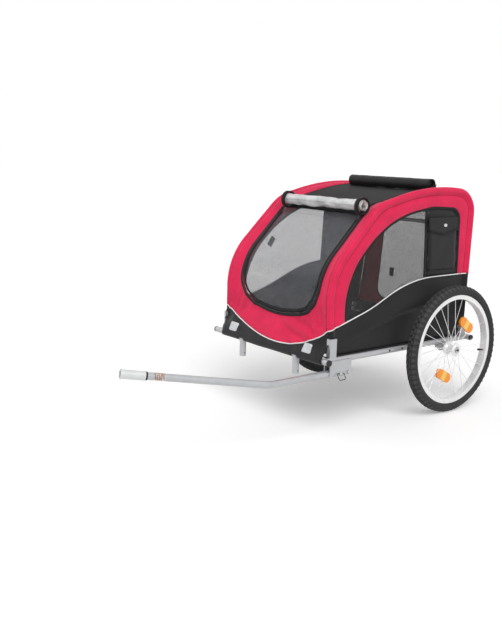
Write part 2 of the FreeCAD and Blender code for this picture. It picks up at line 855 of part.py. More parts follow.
def make_front_roof_rear():
    """Front panel, lower panel and mesh door, roof panel, rear panels and rear mesh."""
    band = panel_band(cloth)
    wide = rail_side + cut_run
    middle = cabin_rear - cabin_length / 2
    front_top = front_window_top + front_panel_head
    front_block = box_between(V(-wide, span_front, span_low), V(wide, middle, front_top))
    rear_start = cabin_rear - rear_panel_depth
    rear_block = box_between(V(-wide, rear_start, cabin_bottom), V(wide, span_rear, span_high))
    front = band.common(front_block)
    rear = band.common(rear_block)
    lower = below_front_piping()
    window = front_region(front_window_wire(0))
    parts["front_red_panel"] = largest(front.cut([lower, window]))
    parts["front_lower_panel"] = largest(front.common(lower).cut(post_spaces()))
    mesh_band = panel_band(mesh_cloth)
    parts["front_mesh_door"] = largest(mesh_band.common(front_region(front_window_wire(door_gap))))
    over_rear = box_between(V(-wide, rear_start, span_low), V(wide, span_rear, span_high))
    parts["roof_panel"] = largest(band.cut([front_block, over_rear]))
    below = box_between(V(-wide, middle, cabin_bottom), V(wide, span_rear, rear_piping_height))
    rear_window = prism(rear_window_wire(0), Y_WAY * span_rear)
    parts["rear_red_panel"] = largest(rear.cut([below, rear_window]))
    parts["rear_lower_panel"] = largest(rear.common(below))
    parts["rear_mesh"] = largest(mesh_band.common(rear_window))


def post_spaces():
    """Room for the front posts in the hem round the cross tube."""
    foot = V(post_side, -front_tube_reach, span_low)
    space = rod(foot, foot + Z_WAY * (frame_height - span_low), post_radius + soft_gap)
    return [space, mirrored(space)]


def make_piping():
    """White piping along the seam between red and black: both sides, front and rear."""
    out = cloth / 2 + piping_radius + seat_gap
    line = [V(side_at(point.z) + out, point.y, point.z) for point in piping_points()]
    clear = sleeve_radius + piping_radius
    start = point_at_y(line[0], line[1], on_leg(hoop_corners[0], hoop_corners[1], line[0].z)[0] + clear)
    end = point_at_y(line[2], line[3], on_leg(hoop_corners[5], hoop_corners[4], line[3].z)[0] - clear)
    side = swept(rounded_wire([start, line[1], line[2], end], [piping_bend_radius] * 2), piping_radius)
    front = swept(Part.Wire(front_piping_arc().toShape()), piping_radius)
    knee, foot = cabin_points(cabin_outline_shares)[4:]
    rear_y = on_leg(foot, knee, rear_piping_height)[0] + piping_radius + seat_gap - panel_inset
    wide = side_at(rear_piping_height) - sleeve_radius - soft_gap
    rear = rod(V(-wide, rear_y, rear_piping_height), V(wide, rear_y, rear_piping_height), piping_radius)
    parts["piping"] = Part.makeCompound([side, mirrored(side), front, rear])


def point_at_y(start, end, y):
    """Point of the line through two points at one Y."""
    return start + (end - start) * ((y - start.y) / (end.y - start.y))


def flare_at(height, out):
    """Y of the front cloth's slope at a height, moved out from its face."""
    hem, top = flare_points()
    slope = (top[0] - hem[0]) / (top[1] - hem[1])
    return hem[0] + (height - hem[1]) * slope - out * math.hypot(1, slope)


def front_piping_arc():
    """Arc of the front piping, which lies on the cloth's slope."""
    half = side_at(front_piping_side_height) - sleeve_radius - 2 * piping_radius
    out = piping_radius + seat_gap
    end_height = front_piping_height(half)
    end_y = flare_at(end_height, out)
    middle = V(0, flare_at(front_piping_mid_height, out), front_piping_mid_height)
    return Part.Arc(V(half, end_y, end_height), middle, V(-half, end_y, end_height))


def spiral_wire(middle, core, step, half_turns, thickness):
    """Closed outline of a sheet rolled up in half turns, in the YZ plane."""
    def half_arc(i, radius):
        shift = step if i % 2 else 0
        sign = -1 if i % 2 else 1
        centre = middle + Y_WAY * shift
        start = centre + Y_WAY * (radius * sign)
        return Part.Arc(start, centre + Z_WAY * (radius * sign), centre - Y_WAY * (radius * sign))

    outer = [half_arc(i, core + step * i) for i in range(half_turns)]
    inner = [half_arc(i, core + step * i - thickness) for i in range(half_turns)]
    edges = [arc.toShape() for arc in outer + inner]
    edges.append(Part.makeLine(outer[0].StartPoint, inner[0].StartPoint))
    edges.append(Part.makeLine(outer[-1].EndPoint, inner[-1].EndPoint))
    return Part.Wire(Part.__sortEdges__(edges))


def roll(middle, half_length, core, step, half_turns):
    """Sheet rolled up round a line along X."""
    print("least gap in a roll of step %.1f: %.2f" % (step, step * 2 - roll_sheet))
    wire = spiral_wire(middle - X_WAY * half_length, core, step, half_turns, roll_sheet)
    return prism(wire, X_WAY * (2 * half_length))


def band_point(y):
    """Point of the roof cloth's outer face at one Y."""
    wire = cabin_wire(panel_inset, 0)
    probe = Part.makeLine(V(0, y, (cabin_bottom + cabin_top) / 2), V(0, y, span_high))
    _, pairs, _ = wire.distToShape(probe)
    return max((pair[0] for pair in pairs), key=lambda point: point.z)


def brow_seat(height):
    """Point a height over the cloth where it starts to bend back over the brow."""
    brow = V(0, *hoop_corners[2])
    before = (V(0, *hoop_corners[1]) - brow).normalize()
    after = (V(0, *hoop_corners[3]) - brow).normalize()
    bisector = (before + after).normalize() * -1
    bend = front_brow_radius - panel_inset
    centre = brow - bisector * ((front_brow_radius - sleeve_radius) / math.sin(before.getAngle(after) / 2))
    slope_out = V(0, before.z, -before.y)
    out = (slope_out + (bisector - slope_out) * front_roll_seat_share).normalize()
    return centre + out * (bend + height)


def make_rolls():
    """Clear cover rolled up over the front window with its straps, and the roof's rolled cover."""
    outer = front_roll_core + front_roll_step * (front_roll_half_turns - 1)
    strap_radius = outer + strap_thickness
    middle = brow_seat(strap_radius + soft_gap) + X_WAY * front_roll_shift
    parts["front_roll"] = roll(middle, front_roll_half, front_roll_core, front_roll_step,
                               front_roll_half_turns)
    straps = []
    for start in (-front_roll_half, front_roll_half - strap_width):
        end = middle + X_WAY * start
        straps.append(tube(end, end + X_WAY * strap_width, strap_radius, strap_thickness - soft_gap))
    parts["front_roll_straps"] = Part.makeCompound(straps)
    roof_outer = roof_roll_core + roof_roll_step * (roof_roll_half_turns - 1)
    seat = band_point(-roof_roll_reach)
    parts["roof_roll"] = roll(seat + Z_WAY * (roof_outer + soft_gap), roof_roll_half,
                              roof_roll_core, roof_roll_step, roof_roll_half_turns)


def pocket_wire(low, high, x):
    """Pocket's rounded outline on the left side."""
    corners = [V(x, y, z) for y, z in
               ((-pocket_front, low), (pocket_back, low), (pocket_back, high), (-pocket_front, high))]
    return rounded_wire(corners, [pocket_corner] * 4, closed=True)


def make_pocket():
    """Flat pouch on the left mesh, its hinged flap, and two reflective patches in front."""
    inner = side_slab(mesh_cloth + 2 * soft_gap)
    outer = side_slab(mesh_cloth + 2 * soft_gap + 2 * pocket_depth)
    shell = outer.cut(inner).common(left_block())
    outside = [solid for solid in shell.Solids if solid.CenterOfMass.x > side_at(solid.CenterOfMass.z)]
    pouch = side_prism(pocket_wire(pocket_bottom, pocket_top, 0)).common(outside[0])
    parts["side_pocket"] = largest(pouch)
    flap_in = side_slab(mesh_cloth + 4 * soft_gap + 2 * pocket_depth)
    flap_out = side_slab(mesh_cloth + 4 * soft_gap + 2 * pocket_depth + 2 * flap_thickness)
    skin = flap_out.cut(flap_in).common(left_block())
    skins = [solid for solid in skin.Solids if solid.CenterOfMass.x > side_at(solid.CenterOfMass.z)]
    low = pocket_top - flap_drop
    front = -pocket_front - flap_overhang
    back = pocket_back + flap_overhang
    corners = [V(0, front, pocket_top), V(0, back, pocket_top), V(0, back, low),
               V(0, (front + back) / 2, low - flap_point), V(0, front, low)]
    flap = side_prism(rounded_wire(corners, [0, 0] + [pocket_corner] * 3, closed=True))
    parts["pocket_flap"] = largest(flap.common(skins[0]))
    parts["reflective_patches"] = both_sides(left_patch())


def left_patch():
    """Thin reflective patch on the front cloth's slope, hung a gap below the piping's inner end of it."""
    inner = patch_side - patch_width / 2
    top = front_piping_height(inner) - piping_radius - patch_gap
    low = top - patch_height
    face = seat_gap + patch_thickness
    faces = [V(inner, flare_at(z, out), z)
             for z, out in ((top, seat_gap), (low, seat_gap), (low, face), (top, face))]
    return prism(Part.makePolygon(faces + faces[:1]), X_WAY * patch_width)


def make_tow_bar():
    """Channel under the left rail, bent tow bar, its bolt, and the lock pin with a wire ring."""
    half = tow_radius + tow_bracket_play
    wide = half + tow_bracket_wall
    low = tow_height - tow_bracket_low
    under = frame_height - tube_radius
    front = -tow_bracket_front
    rear = -tow_bracket_rear
    plates = [box_between(V(rail_side + half, front, low), V(rail_side + wide, rear, frame_height)),
              box_between(V(rail_side - wide, front, low), V(rail_side - half, rear, frame_height)),
              box_between(V(rail_side - half, front, under - tow_web),
                          V(rail_side + half, rear, under + tow_web))]
    bolt_mid = V(rail_side, -tow_bolt_reach, tow_height)
    lock_mid = V(rail_side, -lock_reach, tow_height)
    holes = [rod(bolt_mid - X_WAY * cut_run, bolt_mid + X_WAY * cut_run, tow_bolt_radius + running_gap),
             rod(lock_mid - X_WAY * cut_run, lock_mid + X_WAY * cut_run, lock_radius + seat_gap)]
    channel = plates[0].fuse(plates[1:]).cut([left_rail_rod(), front_cross_rod()] + holes)
    parts["tow_bracket"] = largest(channel)
    bar = swept_tube(rounded_wire([V(rail_side, -tow_rear_reach, tow_height), tow_bend(), bar_end()],
                                  [tow_bend_radius]), tow_radius, tow_wall)
    parts["tow_bar"] = bar.cut(holes)
    parts["tow_bolt"] = bolt_along(bolt_mid + X_WAY * wide, X_WAY * -1, 2 * wide, tow_bolt_radius,
                                   tow_bolt_head_radius, tow_bolt_head_height)
    head = lock_mid + X_WAY * (wide + soft_gap)
    pin = rod(lock_mid - X_WAY * (wide + lock_overhang), head, lock_radius)
    knob = rod(head, head + X_WAY * lock_head_length, lock_head_radius)
    eye = head + X_WAY * (lock_head_length / 2)
    eye_hole = rod(eye - Y_WAY * lock_head_radius, eye + Y_WAY * lock_head_radius, ring_wire + seat_gap)
    parts["lock_pin"] = pin.fuse(knob).removeSplitter().cut(eye_hole)
    parts["lock_pin_ring"] = pull_ring(eye)


def pull_ring(eye):
    """Closed wire ring that hangs from the hole in the lock pin's head."""
    half = ring_width / 2
    lean = math.radians(ring_lean_deg)
    drop = V(ring_drop * math.sin(lean), 0, -ring_drop * math.cos(lean))
    corners = [eye - Y_WAY * half, eye + Y_WAY * half, eye + Y_WAY * half + drop, eye - Y_WAY * half + drop]
    start = (corners[3] + corners[2]) * 0.5
    loop = [start, corners[2], corners[1], corners[0], corners[3], start]
    return swept(rounded_wire(loop, [ring_corner] * 4), ring_wire)


def tow_bend():
    """Corner of the tow bar's two straight runs."""
    return V(rail_side, -tow_bend_reach, tow_height)


def hitch_way():
    """Direction of the tow bar's front run, towards the coupler's tip."""
    return (V(coupler_tip_side, -coupler_tip_reach, coupler_tip_height) - tow_bend()).normalize()


def hitch_middle():
    """Middle of the hitch's cross joint."""
    ahead = spring_length / 2 + collar_length + rubber_length + coupler_length
    return V(coupler_tip_side, -coupler_tip_reach, coupler_tip_height) - hitch_way() * ahead


def bar_end():
    """Front end of the tow bar's tube."""
    return hitch_middle() - hitch_way() * (spring_length / 2 + plug_flange)


def placed_on_hitch(shape):
    """Move a piece that was made along +X, with Z up, to the hitch's middle."""
    ahead = hitch_way()
    side = Z_WAY.cross(ahead).normalize()
    up = ahead.cross(side)
    middle = hitch_middle()
    shape.transformShape(FreeCAD.Matrix(ahead.x, side.x, up.x, middle.x, ahead.y, side.y, up.y, middle.y,
                                        ahead.z, side.z, up.z, middle.z, 0, 0, 0, 1))
    return shape


def fork(ear_low, ear_way, cross_way):
    """Fork made towards -X: stem, base disc and two eared plates round the cross joint's middle."""
    stem = rod(V(-spring_length / 2, 0, 0), V(-fork_reach, 0, 0), fork_stem_radius)
    base = rod(V(-fork_reach - fork_base, 0, 0), V(-fork_reach, 0, 0), fork_base_radius)
    ears = []
    for sign in (1, -1):
        near = ear_way * (ear_low * sign)
        far = ear_way * ((ear_low + ear_thickness) * sign)
        plate = box_between(*ordered(near + cross_way * -ear_half_width - X_WAY * fork_reach,
                                     far + cross_way * ear_half_width))
        ears += [plate, rod(near, far, ear_half_width)]
    hole = rod(ear_way * -cut_run, ear_way * cut_run, cross_pin_radius + running_gap)
    return stem.fuse([base] + ears).removeSplitter().cut(hole)


def ordered(one, two):
    """Low and high corners of the box between two points."""
    low = V(min(one.x, two.x), min(one.y, two.y), min(one.z, two.z))
    high = V(max(one.x, two.x), max(one.y, two.y), max(one.z, two.z))
    return low, high


def biarc(start, start_way, end, end_way):
    """Two tangent arcs between two points with given directions."""
    chord = end - start
    ways = start_way + end_way
    lean = 2 * (1 - start_way.dot(end_way))
    reach = (math.sqrt(chord.dot(ways) ** 2 + lean * chord.dot(chord)) - chord.dot(ways)) / lean
    joint = (start + end + (start_way - end_way) * reach) * 0.5
    return [tangent_arc(start, start_way, joint), tangent_arc(end, end_way * -1, joint)]


def tangent_arc(start, way, end):
    """Arc that leaves a point in a direction and ends at another point."""
    chord = end - start
    half = way.getAngle(chord) / 2
    across = (way - chord * (way.dot(chord) / chord.dot(chord))).normalize()
    middle = start + chord * 0.5 + across * (chord.Length / 2 * math.tan(half))
    return Part.Arc(start, middle, end).toShape()


def coil_spring():
    """Spring round the cross joint, as one tube on quarter-turn biarcs."""
    free = spring_length / 2 - spring_wire - seat_gap
    pitch = 2 * free / spring_turns
    steps = round(spring_turns * 4)
    climb = pitch / (2 * math.pi)

    def place(i):
        angle = math.pi / 2 * i
        return V(climb * angle - free, 0, 0) + V(0, math.cos(angle), math.sin(angle)) * spring_mean_radius

    def way(i):
        angle = math.pi / 2 * i
        round_way = V(0, -math.sin(angle), math.cos(angle)) * spring_mean_radius
        return (round_way + X_WAY * climb).normalize()

    edges = []
    for i in range(steps):
        edges += biarc(place(i), way(i), place(i + 1), way(i + 1))
    print("least gap between the spring's curls: %.2f" % (pitch - 2 * spring_wire))
    return swept(Part.Wire(Part.__sortEdges__(edges)), spring_wire)


def make_hitch():
    """Plug in the bar's end, cross joint, spring, fork with its collar, rubber ring and coupler tube."""
    near = spring_length / 2
    ring_start = near + collar_length
    tube_start = ring_start + rubber_length
    tip = tube_start + coupler_length
    back = fork(cross_half_up + ear_play, Z_WAY, Y_WAY)
    flange = rod(V(-near - plug_flange, 0, 0), V(-near, 0, 0), tow_radius)
    shank = rod(V(-near - plug_flange - plug_depth, 0, 0), V(-near, 0, 0),
                tow_radius - tow_wall - running_gap)
    ahead = fork(cross_half_side + ear_play, Y_WAY, Z_WAY).mirror(V(), X_WAY)
    collar = rod(V(near, 0, 0), V(ring_start, 0, 0), collar_radius)
    cross = box_between(V(-cross_half_long, -cross_half_side, -cross_half_up),
                        V(cross_half_long, cross_half_side, cross_half_up))
    upright = Z_WAY * (cross_half_up + ear_play + ear_thickness)
    level = Y_WAY * (cross_half_side + ear_play + ear_thickness)
    cross = cross.fuse([rod(upright * -1, upright, cross_pin_radius),
                        rod(level * -1, level, cross_pin_radius)])
    coupler = rod(V(tube_start, 0, 0), V(tip, 0, 0), coupler_radius)
    lip = rod(V(tip - coupler_lip * 2, 0, 0), V(tip, 0, 0), coupler_radius + coupler_lip)
    socket = rod(V(tip - coupler_bore_depth, 0, 0), V(tip, 0, 0), coupler_bore)
    pieces = {"hitch_plug": back.fuse([flange, shank]).removeSplitter(), "hitch_spring": coil_spring(),
              "hitch_cross": cross.removeSplitter(), "hitch_fork": ahead.fuse(collar).removeSplitter(),
              "hitch_rubber_ring": rod(V(ring_start, 0, 0), V(tube_start, 0, 0), rubber_radius),
              "coupler_tube": coupler.fuse(lip).cut(socket).removeSplitter()}
    for name, piece in pieces.items():
        parts[name] = placed_on_hitch(piece)


def export_all():
    """Move the bottom centre of everything to the origin and write one file per piece."""
    os.makedirs("parts", exist_ok=True)
    box = Part.makeCompound(list(parts.values())).optimalBoundingBox(False)
    shift = V(-box.Center.x, -box.Center.y, -box.ZMin)
    print("moved by %.4f %.4f %.4f" % (shift.x, shift.y, shift.z))
    print("size %.2f x %.2f x %.2f" % (box.XLength, box.YLength, box.ZLength))
    for name, shape in parts.items():
        shape.translate(shift)
        shape.exportStep("parts/%s.step" % name)


make_wheels()
make_axles()
make_base()
make_posts()
make_brackets()
make_hoops()
make_side_cover()
make_front_roof_rear()
make_piping()
make_rolls()
make_pocket()
make_tow_bar()
make_hitch()
export_all()
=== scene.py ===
"""Looks of a two-wheeled dog trailer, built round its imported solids.

Lengths are metres. The cover is drawn in its side view, where Y runs back from the axle and Z is the
height. X points to the trailer's left. The front, roof and rear cloth is drawn unrolled, in X and the
length along its side view.
"""
import bisect
import json
import math

import bpy
from mathutils import Matrix, Vector, kdtree, noise
from mathutils.geometry import delaunay_2d_cdt


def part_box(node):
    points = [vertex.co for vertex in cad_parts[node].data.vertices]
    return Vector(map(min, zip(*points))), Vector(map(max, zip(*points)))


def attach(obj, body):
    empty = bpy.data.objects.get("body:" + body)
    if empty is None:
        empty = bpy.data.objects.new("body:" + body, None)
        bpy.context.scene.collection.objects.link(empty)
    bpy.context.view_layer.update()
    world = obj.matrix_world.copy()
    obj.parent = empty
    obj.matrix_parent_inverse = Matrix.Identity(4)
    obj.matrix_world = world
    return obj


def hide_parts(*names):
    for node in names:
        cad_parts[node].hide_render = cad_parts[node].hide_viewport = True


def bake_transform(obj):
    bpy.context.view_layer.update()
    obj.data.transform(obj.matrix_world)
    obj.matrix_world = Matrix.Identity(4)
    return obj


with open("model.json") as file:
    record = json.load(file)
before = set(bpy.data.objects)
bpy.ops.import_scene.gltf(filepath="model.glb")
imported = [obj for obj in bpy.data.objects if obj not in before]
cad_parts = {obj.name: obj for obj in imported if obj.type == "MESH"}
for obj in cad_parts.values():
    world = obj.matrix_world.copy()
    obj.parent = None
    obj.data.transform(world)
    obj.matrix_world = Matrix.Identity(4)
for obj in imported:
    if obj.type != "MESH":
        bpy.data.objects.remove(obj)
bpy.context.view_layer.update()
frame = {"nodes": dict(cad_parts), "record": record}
nodes = frame["nodes"]


def middle_of(node):
    """Middle of a node's box."""
    low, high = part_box(node)
    return (low + high) / 2


axle_y = middle_of("left_hub").y

# Camera, worked out from the photograph's 502 by 642 frame
photo_long_side = 642
focal_pixels = 849.75
sensor_width = 36.0
camera_azimuth = math.radians(51.59)
camera_elevation = math.radians(11.62)
camera_distance = 3.2444
camera_roll = math.radians(1.54)
camera_target = Vector((-0.12535, axle_y - 0.61581, 0.33856))

# Cover's outline, as shares of its length and height
cabin_front = 0.619
cabin_length = 0.790
cabin_bottom = 0.2863
cabin_height = 0.571
outline_shares = ((0.022, -0.1), (0.008, 0.489), (0.317, 0.912), (0.662, 1.026), (0.998, 0.981),
                  (0.931, -0.1))
outline_radii = (0.250, 0.183, 1.000, 0.092)
hoop_base_side = 0.294
hoop_base_height = 0.300
hoop_lean = 0.045
sleeve_radius = 0.0127
panel_inset = 0.016
cloth = 0.0016
mesh_cloth = 0.0009

# Side windows, piping line and bindings
window_shares = ((0.121, 0.069), (0.111, 0.435), (0.369, 0.808), (0.685, 0.877), (0.885, 0.86),
                 (0.872, 0.069))
window_radii = (0.295, 0.466, 0.264, 0.047)
piping_start_height = 0.370
piping_shares = ((0.277, 0.258), (0.535, 0.418), (1.06, 0.42))
piping_bend = 0.600
piping_radius = 0.0023
binding_width = 0.011
binding_height = 0.0022
strip_y = -0.114
strip_width = 0.013

# Front, roof and rear cloth
front_window_half = 0.214
front_window_top = 0.746
front_window_shoulder = 0.430
front_window_bottom = 0.3885
front_window_corner = 0.110
front_window_sag = 0.500
front_panel_top = 0.762
front_wing_top = 0.800
front_piping_middle = 0.297
front_piping_skew = 0.022
flare_top = 0.380
flare_radius = 0.030
hem_round_share = 0.9
front_tape_width = 0.0145
door_hem_width = 0.009
roof_border_end = 0.012
rear_panel_start = 0.088
rear_window_half = 0.172
rear_window_bottom = 0.362
rear_window_top = 0.752
rear_window_corner = 0.050
rear_piping_height = 0.334

# Edge of the front, roof and rear cloth, drawn up on the sleeves
sleeve_rise = 0.0105
rise_width = 0.038
rise_ramp = (0.34, 0.02)
sleeve_overlap_share = 0.93

# Soft waves of each cloth: their depth, how close they are along its two ways, and the noise's slice
waves = {
    "red band": (0.0014, 16, 2.2, 7.0),
    "lower side": (0.0012, 9, 14, 11.0),
    "side window": (0.0012, 7, 7, 21.0),
    "front": (0.0011, 9, 6, 31.0),
    "front hem": (0.0048, 22, 9, 35.0),
    "front door": (0.001, 6, 5, 41.0),
    "roof": (0.001, 8, 8, 51.0),
    "rear": (0.0012, 9, 7, 61.0),
    "pouch": (0.0012, 18, 18, 91.0),
    "flap": (0.0008, 20, 15, 95.0),
}

# Stitching on the tapes
stitch_pitch = 0.0045
stitch_length = 0.0031
stitch_width = 0.0008
stitch_height = 0.0003
stitch_taper_share = 0.7
stitch_rows_at = (-0.0034, 0.0034)
zip_radius = 0.0019

# Steps along the outlines and lines, and between the points inside an outline
arc_step = 0.006
edge_step = 0.012
wide_step = 0.014
fine_step = 0.008
panel_step = 0.009
panel_spacing = 0.011
mesh_spacing = 0.02
window_edge_step = 0.010

# Details of the meshes
direction_blur = 0.004
row_share = 0.866
edge_room_share = 0.6
same_spot = 1e-7
section_step = 0.002
tape_edge_share = 0.6
tape_top_share = 0.8


def smooth(share):
    """Share from 0 to 1 with soft ends."""
    share = max(0.0, min(1.0, share))
    return share * share * (3 - 2 * share)


def ramp(value, start, width):
    """Soft step from 0 at a start to 1 a width further on. A negative width leads back from the start."""
    return smooth((value - start) / width)


def bell(distance, width):
    """Bump of height 1 that fades over a width."""
    return math.exp(-(distance / width) ** 2)


def ripple(a, b, seed):
    """Soft noise from -1 to 1."""
    return noise.noise(Vector((a, b, seed)))


def wave(cloth_name, a, b):
    """Height of a cloth's soft waves at one place."""
    depth, close_a, close_b, seed = waves[cloth_name]
    return depth * ripple(a * close_a, b * close_b, seed)


def vectors(*points):
    """Vectors from pairs or threes."""
    return [Vector(p) for p in points]


def evenly(start, end, count):
    """Values from one to another, in a count of equal steps."""
    return [start + (end - start) * i / count for i in range(count + 1)]


def circle(count):
    """Angles of a count of points round a circle."""
    return [2 * math.pi * i / count for i in range(count)]


def side_points(shares):
    """Side-view points from shares of the cover's length and height."""
    return [Vector((y * cabin_length - cabin_front, cabin_bottom + z * cabin_height)) for y, z in shares]


def grown(points, distance):
    """Closed clockwise outline with every side moved outwards."""
    lines = []
    for here, there in zip(points, points[1:] + points[:1]):
        way = (there - here).normalized()
        lines.append((here + Vector((-way.y, way.x)) * distance, way))
    moved = []
    for (a, way_a), (b, way_b) in zip(lines[-1:] + lines[:-1], lines):
        cross = way_a.x * way_b.y - way_a.y * way_b.x
        gap = b - a
        moved.append(a + way_a * ((gap.x * way_b.y - gap.y * way_b.x) / cross))
    return moved


def rounded(points, radii, closed=False):
    """Outline whose corners are arcs, as close points. An open one keeps its two ends."""
    count = len(points)
    found = []
    for i, point in enumerate(points):
        radius = radii[i] if closed else (radii[i - 1] if 0 < i < count - 1 else 0)
        if not radius:
            found.append(point.copy())
            continue
        back = (points[i - 1] - point).normalized()
        ahead = (points[(i + 1) % count] - point).normalized()
        half = back.angle(ahead) / 2
        centre = point + (back + ahead).normalized() * (radius / math.sin(half))
        start = point + back * (radius / math.tan(half)) - centre
        turn = math.pi - 2 * half
        side = math.copysign(1, back.x * ahead.y - back.y * ahead.x) * -1
        steps = max(3, math.ceil(radius * turn / arc_step))
        for k in range(steps + 1):
            angle = side * turn * k / steps
            found.append(centre + Vector((start.x * math.cos(angle) - start.y * math.sin(angle),
                                          start.x * math.sin(angle) + start.y * math.cos(angle))))
    return found


class Line:
    """Flat or spatial line of points that can be read at any length along it."""

    def __init__(self, points):
        self.points = vectors(*points)
        self.marks = [0.0]
        for a, b in zip(self.points, self.points[1:]):
            self.marks.append(self.marks[-1] + (b - a).length)
        self.length = self.marks[-1]

    def spot(self, s):
        """Index of the run that holds a length, and the share along it."""
        s = max(0.0, min(self.length, s))
        i = min(bisect.bisect_right(self.marks, s), len(self.marks) - 1) - 1
        run = self.marks[i + 1] - self.marks[i]
        return i, (s - self.marks[i]) / run if run else 0.0

    def at(self, s):
        """Point at a length."""
        i, share = self.spot(s)
        return self.points[i].lerp(self.points[i + 1], share)

    def way(self, s, blur=direction_blur):
        """Direction at a length, evened out over a short stretch."""
        return (self.at(s + blur) - self.at(s - blur)).normalized()

    def out(self, s):
        """Outward direction of a flat line that runs clockwise round its inside."""
        way = self.way(s)
        return Vector((-way.y, way.x))

    def reach(self, axis, value, last=False):
        """Length at which a coordinate first, or last, has a value."""
        found = []
        for i, (a, b) in enumerate(zip(self.points, self.points[1:])):
            if a[axis] != b[axis] and (a[axis] - value) * (b[axis] - value) <= 0:
                found.append(self.marks[i] + (value - a[axis]) / (b[axis] - a[axis]) * (b - a).length)
        return found[-1] if last else found[0]

    def nearest(self, point):
        """Length of the closest of its points."""
        best = min(range(len(self.points)), key=lambda i: (self.points[i] - point).length)
        return self.marks[best]

    def between(self, start, end, step):
        """Points from one length to another, at even steps."""
        return [self.at(s) for s in evenly(start, end, max(2, math.ceil(abs(end - start) / step)))]


def run_of(points, step):
    """Points along straight runs, at even steps, with the corners kept."""
    found = []
    for a, b in zip(points, points[1:]):
        count = max(1, math.ceil((b - a).length / step))
        found += [a.lerp(b, i / count) for i in range(count)]
    return found + [points[-1]]


def closed_run(points, step):
    """Closed outline at even steps, without its last point."""
    return run_of(points + points[:1], step)[:-1]


def side_x(height):
    """X of the left hoop's plane at a height."""
    return hoop_base_side - (height - hoop_base_height) * hoop_lean


def at_side(point, out):
    """Point of the left side, moved out of the hoop's plane."""
    return Vector((side_x(point.y) + out, point.x + axle_y, point.y))


def mirrored(points):
    """The same points on the trailer's other side."""
    return [Vector((-p.x, p.y, p.z)) for p in points]


outline = side_points(outline_shares)
sleeve_line = Line(rounded(grown(outline, -sleeve_radius), [r - sleeve_radius for r in outline_radii]))
window_corners = side_points(window_shares)
window_line = Line(rounded(window_corners, window_radii))
side_outward = Vector((1, 0, hoop_lean)).normalized()


def make_piping_line():
    """Side view of the seam between red and black, from beyond the front leg to beyond the rear one."""
    corners = side_points(piping_shares)
    start = Vector((-cabin_front, piping_start_height))
    first = start + (start - corners[0]).normalized() * panel_inset
    return Line(rounded([first] + corners, [piping_bend] * 2))


piping_line = make_piping_line()


def piping_height(y):
    """Height of the side's seam at one Y."""
    return piping_line.at(piping_line.reach(0, y)).y


def leg_y(height, last):
    """Y of a hoop's front or last leg at a height."""
    return sleeve_line.at(sleeve_line.reach(1, height, last=last)).x


def make_band_line():
    """Side view of the cloth's outer face: round the front tube, up the front, over the roof, down behind."""
    tube_low, tube_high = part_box("front_cross_tube")
    tube_y = (tube_low.y + tube_high.y) / 2 - axle_y
    tube_z = (tube_low.z + tube_high.z) / 2
    hem_radius = (tube_high.z - tube_low.z) / 2 + 2 * cloth
    inset = grown(outline, -panel_inset)
    foot, knee = inset[:2]
    top = foot.lerp(knee, (flare_top - foot.y) / (knee.y - foot.y))
    back = top.x - tube_y
    rise = top.y - tube_z
    lean = math.atan2(back, rise) + math.asin(hem_radius / math.hypot(back, rise))
    hem = tube_y - hem_radius
    bottom = tube_z - hem_radius
    points = vectors((tube_y, bottom), (hem, bottom), (hem, top.y - (top.x - hem) / math.tan(lean)), top)
    radii = [hem_radius * hem_round_share, hem_radius, flare_radius]
    return Line(rounded(points + inset[1:], radii + [r - panel_inset for r in outline_radii]))


band_line = make_band_line()


def front_s(height):
    """Length along the cloth's side view at a height in front."""
    return band_line.reach(1, height)


def rear_s(height):
    """Length along the cloth's side view at a height behind."""
    return band_line.reach(1, height, last=True)


front_end = front_s(front_panel_top)
wing_end = front_s(front_wing_top)
rear_start = band_line.reach(0, rear_panel_start)
rear_end = rear_s(cabin_bottom)


def band_half(s):
    """Half width of the cloth between the two sleeves at a length."""
    return side_x(band_line.at(s).y) - sleeve_radius * sleeve_overlap_share


def edge_rise(x, s):
    """How far the cloth's edge is drawn up towards the top of the hoops' sleeves."""
    near_edge = ramp(abs(x) - band_half(s), -rise_width, rise_width)
    return sleeve_rise * near_edge * ramp(band_line.at(s).y, *rise_ramp)


def on_band(x, s, out=0.0):
    """Point of the front, roof and rear cloth."""
    point = band_line.at(s) + band_line.out(s) * (out + edge_rise(x, s))
    return Vector((x, point.x + axle_y, point.y))


def band_ups(line):
    """Outward directions at points of the unrolled cloth."""
    return [Vector((0, *band_line.out(p.y))) for p in line]


def band_edge(start, end, sign, step=edge_step, reach=None):
    """One side edge of the unrolled cloth, moved out by a reach that depends on its height."""
    edge = []
    for s in evenly(start, end, max(2, math.ceil(abs(end - start) / step))):
        more = reach(band_line.at(s).y) if reach else 0.0
        edge.append(Vector((sign * (band_half(s) + more), s)))
    return edge


def inside(point, loop):
    """Whether a flat point lies in a closed outline."""
    hit = False
    for a, b in zip(loop, loop[1:] + loop[:1]):
        if (a.y > point.y) != (b.y > point.y):
            if point.x < a.x + (point.y - a.y) / (b.y - a.y) * (b.x - a.x):
                hit = not hit
    return hit


def in_cloth(point, loops):
    """Whether a flat point lies in the first outline and in none of the other ones."""
    return inside(point, loops[0]) and not any(inside(point, hole) for hole in loops[1:])


